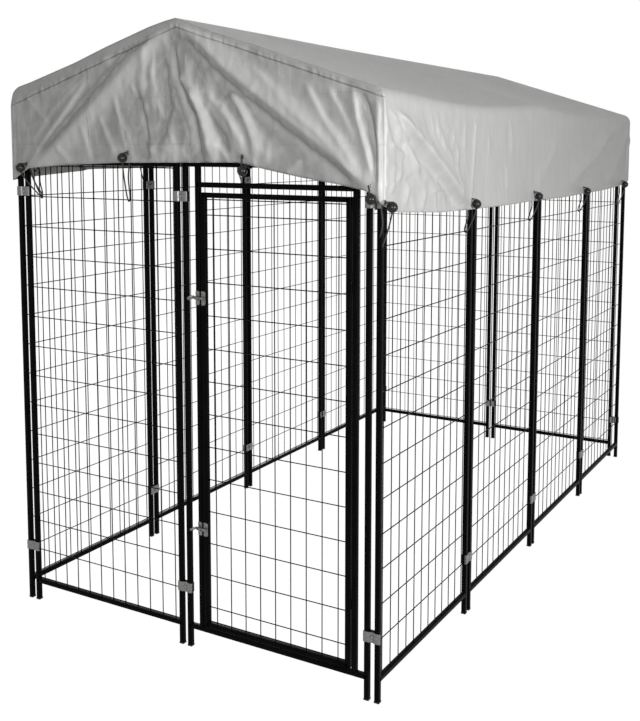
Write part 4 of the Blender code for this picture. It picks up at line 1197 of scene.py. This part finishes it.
def gathered(z):
    """Share of the gathers' full strength at a height: 0 above them, 1 near the hem."""
    return np.clip((GATHER_TOP - z) / GATHER_LENGTH, 0.0, 1.0)


print(f"pleats {PLEAT_WIDTH * 1000:.0f} mm wide and {PLEAT_HEIGHT * 1000:.0f} mm high")


# %% Ends and hanging sides
def end_offset(x, z):
    """How far an end stands out."""
    low = table(x, END_HEM)
    top = roof_height(x)
    down = (top - z) / (top - low)
    corner = COVER_SIDE - np.abs(x)
    calm = smooth_step(corner / SEAM_FADE) * smooth_step((top - z) / 0.016)
    total = sum(fold(x, z, *shape) for shape in END_FOLDS)
    middle = np.exp(-(((x - 0.02) / 0.24) ** 2))
    total = total + (0.0012 + 0.0040 * middle * down) * creases(x * 15 + z * 3, z * 6.5, 4.0)
    total = total + (0.0006 + 0.0022 * middle) * creases(x * 34 - z * 9, z * 15, 7.0)
    total = total + 0.0040 * grain(x * 5, z * 4, 11.0) * down
    total = total + gather(corner, gathered(z))
    pucker = np.sin(x * 210.0 + 4.0 * np.sin(x * 37.0)) * np.exp(-(((top - z - 0.016) / 0.010) ** 2))
    return calm * (total + 0.0016 * pucker * smooth_step((0.66 - np.abs(x)) / 0.05))


def side_offset(y, z, hem):
    """How far a hanging side stands out."""
    down = np.clip((EAVE_END - z) / (EAVE_END - table(y, hem)), 0.0, 1.0)
    corner = np.minimum(y + COVER_END, COVER_END - y)
    calm = smooth_step(corner / SEAM_FADE) * smooth_step(down * 5)
    total = SIDE_FOLD_GAIN * sum(fold(y, z, *shape) for shape in SIDE_FOLDS)
    ties = [ball[0] for ball in RIGHT_BALLS]
    for start, end in zip(ties, ties[1:]):
        share = np.clip((y - start) / (end - start), 0.0, 1.0)
        total = total + TIE_SWELL * down * np.sin(math.pi * share) ** 2
    front = np.exp(-(((y + 1.3) / 0.40) ** 2))
    total = total + (0.0006 + 0.0050 * front) * creases(y * 14 + z * 5, z * 9, 9.0)
    total = total + 0.0006 * creases(y * 16, z * 3.0, 14.0)
    total = total + 0.0035 * grain(y * 3, z * 3, 15.0) * down
    return calm * (total + gather(corner, gathered(z)))


middle_side = float(side_offset(np.array([[0.0]]), np.array([[1.45]]), RIGHT_HEM)[0][0])
print(f"the right side stands out by {middle_side * 1000:.0f} mm half way along")

# %% [markdown]
# Between two hoops the roof hangs below its straight line: a little on the slope, and most at the eave,
# where only the ties pull on it.


# %% Sag between the hoops
def hang(y):
    """1 midway between two hoops and 0 on them."""
    shares = [np.clip((y - start) / (end - start), 0.0, 1.0) for start, end in zip(HOOPS, HOOPS[1:])]
    return sum(np.abs(np.sin(math.pi * share)) ** 1.3 for share in shares)


def roof_drop(y, share):
    """How far the roof hangs below its straight line. share runs 0..1, ridge to eave."""
    sag = SLOPE_SAG * np.sin(math.pi * share ** 1.4) + EAVE_SAG * share ** 3
    soft = 0.0022 * grain(y * 3.5, share * 4, 20.0) + 0.0008 * creases(y * 9, share * 7, 23.0)
    edge = COVER_END - np.abs(y)
    pucker = np.sin(share * 150.0 + 4.0 * np.sin(share * 29.0)) * np.exp(-(((edge - 0.014) / 0.009) ** 2))
    away = smooth_step(share * 9) * smooth_step((1 - share) * 9)
    return hang(y) * sag + away * (smooth_step(edge / 0.05) * soft - 0.0010 * pucker)


print(f"eave sags by {float(roof_drop(np.array([-0.65]), np.array([1.0]))[0]) * 1000:.0f} mm")

# %% [markdown]
# The mesh is four grids. Two run from the ridge down a slope and its hanging side, and two are the ends.
# Their edge points fall on the same places, so merging close points sews them. A solidify modifier then
# gives the sheet its thickness inwards.


# %% Cover grids
def add_grid(bm, x, y, z):
    """A sheet through three arrays of coordinates."""
    verts = [[bm.verts.new(point) for point in zip(*row)] for row in zip(x, y, z)]
    for near, far in zip(verts, verts[1:]):
        for k in range(len(near) - 1):
            bm.faces.new((near[k], far[k], far[k + 1], near[k + 1]))


def fill_cover(bm):
    """The strip over the ridge with both hanging sides, and the two ends, sewn where their edges meet."""
    spots = np.array(even(-COVER_END, COVER_END, LENGTH_STEPS))
    across = np.array([x for x, _ in SECTION])
    heights = np.array([z for _, z in SECTION])
    y, x = np.meshgrid(spots, across, indexing="ij")
    _, z = np.meshgrid(spots, heights, indexing="ij")
    _, share = np.meshgrid(spots, np.linspace(0.0, 1.0, len(SECTION)), indexing="ij")
    z = z - roof_drop(y, share)
    low_y, down = np.meshgrid(spots, np.array(even(0, 1, SKIRT_STEPS)[1:]), indexing="ij")
    low_top = EAVE_END - EAVE_SAG * hang(low_y)
    for side, hem in ((-1, LEFT_HEM), (1, RIGHT_HEM)):
        lift = table(side * x, ROOF_LIFT) * (1 - smooth_step((y + COVER_END) / LIFTED_LENGTH))
        low_z = low_top + (table(low_y, hem) - low_top) * down
        low_x = COVER_SIDE + side_offset(low_y, low_z, hem)
        columns = ((side * x, side * low_x), (y, low_y), (z + lift, low_z))
        add_grid(bm, *(np.concatenate(pair, axis=1) for pair in columns))
    both_ways = np.concatenate((-across[:0:-1], across))
    x, down = np.meshgrid(both_ways, np.array(even(0, 1, SKIRT_STEPS)), indexing="ij")
    for facing, lift in ((-1, table(x, ROOF_LIFT)), (1, 0.0)):
        top = roof_height(x) + lift
        z = top + (table(x, END_HEM) - top) * down
        add_grid(bm, x, facing * (COVER_END + end_offset(x, z)), z)
    bmesh.ops.remove_doubles(bm, verts=bm.verts, dist=0.0003)


# %% Cover in place
cover_mesh = mesh_from("rain_cover", fill_cover, math.radians(180))
cover = add_object("rain_cover", cover_mesh, (CLOTH,), "silver_cloth", "run")
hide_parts("cover_roof_left", "cover_roof_right", "cover_skirt_left", "cover_skirt_right",
            "cover_end_front", "cover_end_back")
thickness = cover.modifiers.new("thickness", "SOLIDIFY")
thickness.thickness = COVER_SHEET
thickness.offset = -1
flat_width = 2 * (COVER_SIDE / math.cos(ROOF_PITCH) + EAVE_END - LOWEST_HEM)

# %% [markdown]
# ## Ball bungees
# Each tie is a black ball on an elastic loop. The loop goes through an eyelet in the cover, down behind the
# hem, round a wire, a rail or a clamp, and up in front to the ball again. The route is worked out from
# where the cloth and the wire really are, so the elastic runs close to both, and a round curve follows it.
# The eyelet sits on the cloth's own height at that place.

# %% Bungee sizes
BALL_RADIUS = 0.015
BALL_GAP = 0.0016
CORD = 0.0045
CORD_GAP = 0.0003
EYELET_RADIUS = 0.0085
EYELET_HOLE = 0.0042
WIRE_OUTER = -(TUBE / 2 - WIRE)
WIRE_INNER = -(TUBE / 2)
WIRE_HOOK = (WIRE / 2, WIRE_OUTER, WIRE_INNER)
RAIL_HOOK = (HEAD_RAIL + TUBE / 2, TUBE / 2, 0.0, -TUBE)
CLAMP_HOOK = (CLAMP_HEIGHTS["upper"], CLAMP_PLATE_HEIGHT / 2, 0.003, -0.001)
RIGHT_HOOK_LEVEL = 1.280
LEFT_HOOK_LEVEL = 1.380
print("balls", 2 * BALL_RADIUS, "m and elastic", CORD, "m thick")


# %% Route of a loop
def side_cloth(y, z, hem):
    """How far a hanging side stands from the tube faces."""
    return COVER_SIDE - SIDE_OUTER_FACE + float(side_offset(np.array([[y]]), np.array([[z]]), hem)[0][0])


def end_cloth(x, z):
    """How far an end stands from the tube faces."""
    return COVER_END - HALF_LENGTH + float(end_offset(np.array([[x]]), np.array([[z]]))[0][0])


def bungee(place, x, z, eye_x, eye, cloth, hook_x, hook_z, half, outer, inner):
    """The ball's centre, the eyelet's place and the loop's route, in the world."""
    out = cloth + BALL_RADIUS + BALL_GAP
    reach = CORD / 2 + CORD_GAP

    def at(along, outwards, height):
        return place @ Vector((along, -outwards, height))

    route = [
        at((x * 3 + eye_x) / 4, out, z + BALL_RADIUS * 0.8),
        at((x + eye_x) / 2, (out + cloth) / 2 + 0.003, (z + BALL_RADIUS + eye) / 2),
        at(eye_x, cloth + 0.002, eye),
        at(eye_x, max(cloth - 0.006, 0.003), eye - 0.004),
        at((eye_x + hook_x) / 2, 0.003, (z + hook_z) / 2 + CORD),
        at(hook_x, inner - reach, hook_z),
        at(hook_x, (inner + outer) / 2, hook_z - half - reach),
        at(hook_x, outer + reach, hook_z),
        at((x + hook_x) / 2, (outer + out) / 2 + 0.004, (z - BALL_RADIUS + hook_z) / 2),
        at(x, out, z - BALL_RADIUS + 0.002),
    ]
    return at(x, out, z), place @ Matrix.Translation((eye_x, -cloth, eye)) @ OUTWARDS, route


print(f"cloth stands {end_cloth(0.0, 1.52) * 1000:.0f} mm off the tubes in the middle of an end")

# %% Ties along the hems
bungees = []
for balls, hem, side_place, turn, level in (
    (RIGHT_BALLS, RIGHT_HEM, right_place(0), 1, RIGHT_HOOK_LEVEL),
    (LEFT_BALLS, LEFT_HEM, left_place(0), -1, LEFT_HOOK_LEVEL),
):
    for y, z, eye_y, eye_z in balls:
        cloth = side_cloth(y, z + eye_z, hem)
        x = HALF_LENGTH + turn * y
        spot = (x, z, x + turn * eye_y, z + eye_z)
        bungees.append(bungee(side_place, *spot, cloth, x, level, *WIRE_HOOK))
for side_place, turn in ((front_place(0), 1), (back_place(0), -1)):
    hooks = (
        (-0.575, LEFT_HOOK_LEVEL, *WIRE_HOOK), (-0.203, LEFT_HOOK_LEVEL, *WIRE_HOOK),
        (0.248, *RAIL_HOOK), (0.660, *CLAMP_HOOK),
    )
    for (x, z, eye_x, eye_z), hook in zip(END_BALLS, hooks):
        cloth = end_cloth(x, z + eye_z)
        spot = (turn * x, z, turn * (x + eye_x), z + eye_z)
        bungees.append(bungee(side_place, *spot, cloth, turn * hook[0], *hook[1:]))
print(len(bungees), "routes")

# %% [markdown]
# Balls and eyelets are turned. The eyelet's hole is filled by the elastic that goes through it, so its disc
# takes the elastic's material. All loops are splines of one curve, because they are one material.


# %% Balls, eyelets and loops
def fill_ball(bm):
    """A ball with a collar at both ends of its bore."""
    collar = ((0.0030, BALL_RADIUS + 0.0006), (0.0042, BALL_RADIUS + 0.0002))
    profile = [*collar]
    for angle in even(math.radians(18), math.radians(162), 16):
        profile.append((BALL_RADIUS * math.sin(angle), BALL_RADIUS * math.cos(angle)))
    profile += [(radius, -rise) for radius, rise in reversed(collar)]
    add_turned(bm, profile, 32)


def fill_eyelet(bm):
    """A pressed metal eyelet with a rolled rim, its hole filled by the elastic."""
    steps = 10
    middle = (EYELET_RADIUS + EYELET_HOLE) / 2
    roll = (EYELET_RADIUS - EYELET_HOLE) / 2
    profile = []
    for k in range(steps):
        angle = 2 * math.pi * k / steps
        profile.append((middle + roll * math.cos(angle), 0.0004 + 0.0010 * math.sin(angle)))
    add_turned(bm, profile, 28, bored=True)
    add_turned(bm, [(0, 0.0006), (EYELET_HOLE, 0.0004), (EYELET_HOLE, -0.0004), (0, -0.0006)], 28, slot=1)


ball_mesh = mesh_from("bungee_ball", fill_ball)
eyelet_mesh = mesh_from("cover_eyelet", fill_eyelet)
for index, (centre, eye_place, _) in enumerate(bungees):
    ball_place = Matrix.Translation(centre)
    add_object(f"bungee_ball_{index + 1}", ball_mesh, (PLASTIC,), "black_plastic", "run", ball_place)
    add_object(f"cover_eyelet_{index + 1}", eyelet_mesh, (ZINC, ELASTIC), "zinc_plate", "run", eye_place)
add_object("bungee_loops", tube("bungee_loops", CORD, [route for _, _, route in bungees], 3), (ELASTIC,),
           "black_plastic", "run")
cord_lengths = [sum((b - a).length for a, b in zip(route, route[1:])) for _, _, route in bungees]
print(f"{len(bungees)} ball bungees, loops {min(cord_lengths):.3f} to {max(cord_lengths):.3f} m")

# %% [markdown]
# ## What carries the cover
# The cover was cut and sewn before it was hung. What carries it is said here.

# %% What carries the cover
print("the cover rests on three hoops and two ridge poles")

# %% [markdown]
# ## Studio
# The photograph has a white surround and soft light: strongest on the long right side, weaker on the front.
# Three area lamps give that, one of them behind for the other views. Making the surround bright enough to
# look white would also wash the cloth out, so it is white only for rays that see it, straight or in a
# reflection, and dim for the light that it sheds. The floor stays at one level of white, because a brighter
# one would eat into the thin wires in front of it.


# %% Lamps
def area_light(name, place, target, size, energy):
    light = bpy.data.lights.new(name, "AREA")
    light.shape = "RECTANGLE"
    light.size, light.size_y = size
    light.energy = energy
    lamp = bpy.data.objects.new(name, light)
    bpy.context.collection.objects.link(lamp)
    lamp.location = place
    lamp.rotation_euler = (Vector(target) - Vector(place)).to_track_quat("-Z", "Y").to_euler()
    lamp.visible_camera = False


area_light("key_right", (3.6, -1.9, 1.42), (0.5, -0.9, 1.5), (0.9, 0.9), 88.0)
area_light("fill_front", (2.4, -5.0, 1.75), (0.0, -0.8, 1.5), (2.0, 1.6), 126.0)
area_light("fill_back", (-3.7, 4.0, 1.8), (0.0, 0.8, 1.5), (2.0, 1.2), 110.0)
print("lamps:", ", ".join(lamp.name for lamp in bpy.data.lights))

# %% Floor and surround
FLOOR_RADIUS = 40.0
FLOOR_THICKNESS = 0.02
FLOOR_DROP = 0.0002
FLOOR_GREY = (0.06, 0.06, 0.06, 1.0)
FLOOR_WHITE = (0.985, 0.985, 0.985)
SURROUND_LIGHT = 0.27


def background_rays(nodes):
    """1 for what the camera sees straight, in a reflection or through glass."""
    rays = ("Is Camera Ray", "Is Glossy Ray", "Is Transmission Ray")
    straight, mirrored, through = (nodes.node("ShaderNodeLightPath", {}, {}, ray) for ray in rays)
    return straight.maths("MAXIMUM", mirrored.maths("MAXIMUM", through))


def fill_floor(bm):
    add_prism(bm, circle(FLOOR_RADIUS, 64), -FLOOR_THICKNESS, -FLOOR_DROP)


floor_mesh = mesh_from("floor", fill_floor)
floor_object = bpy.data.objects.new("floor", floor_mesh)
bpy.context.collection.objects.link(floor_object)
floor_paint = Paint("floor", Base_Color=FLOOR_GREY, Roughness=0.9, Specular_IOR_Level=0.0,
                    Emission_Strength=1.0)
seen = background_rays(floor_paint)
floor_paint.set("Emission Color", floor_paint.colours(seen, (0.0, 0.0, 0.0), FLOOR_WHITE))
floor_mesh.materials.append(floor_paint.material)

world = bpy.data.worlds.new("studio")
bpy.context.scene.world = world
world.use_nodes = True
sky = Nodes(world.node_tree)
white = (1.0, 1.0, 1.0, 1.0)
dim = sky.node("ShaderNodeBackground", {}, {"Color": white, "Strength": SURROUND_LIGHT})
bright = sky.node("ShaderNodeBackground", {}, {"Color": white, "Strength": 1.0})
surround = sky.node("ShaderNodeMixShader", {}, {0: background_rays(sky), 1: dim, 2: bright})
sky.feed(world.node_tree.nodes["World Output"].inputs["Surface"], surround)
bpy.context.scene.view_settings.view_transform = "Standard"
print("surround", SURROUND_LIGHT, "as light, 1 where it is seen")
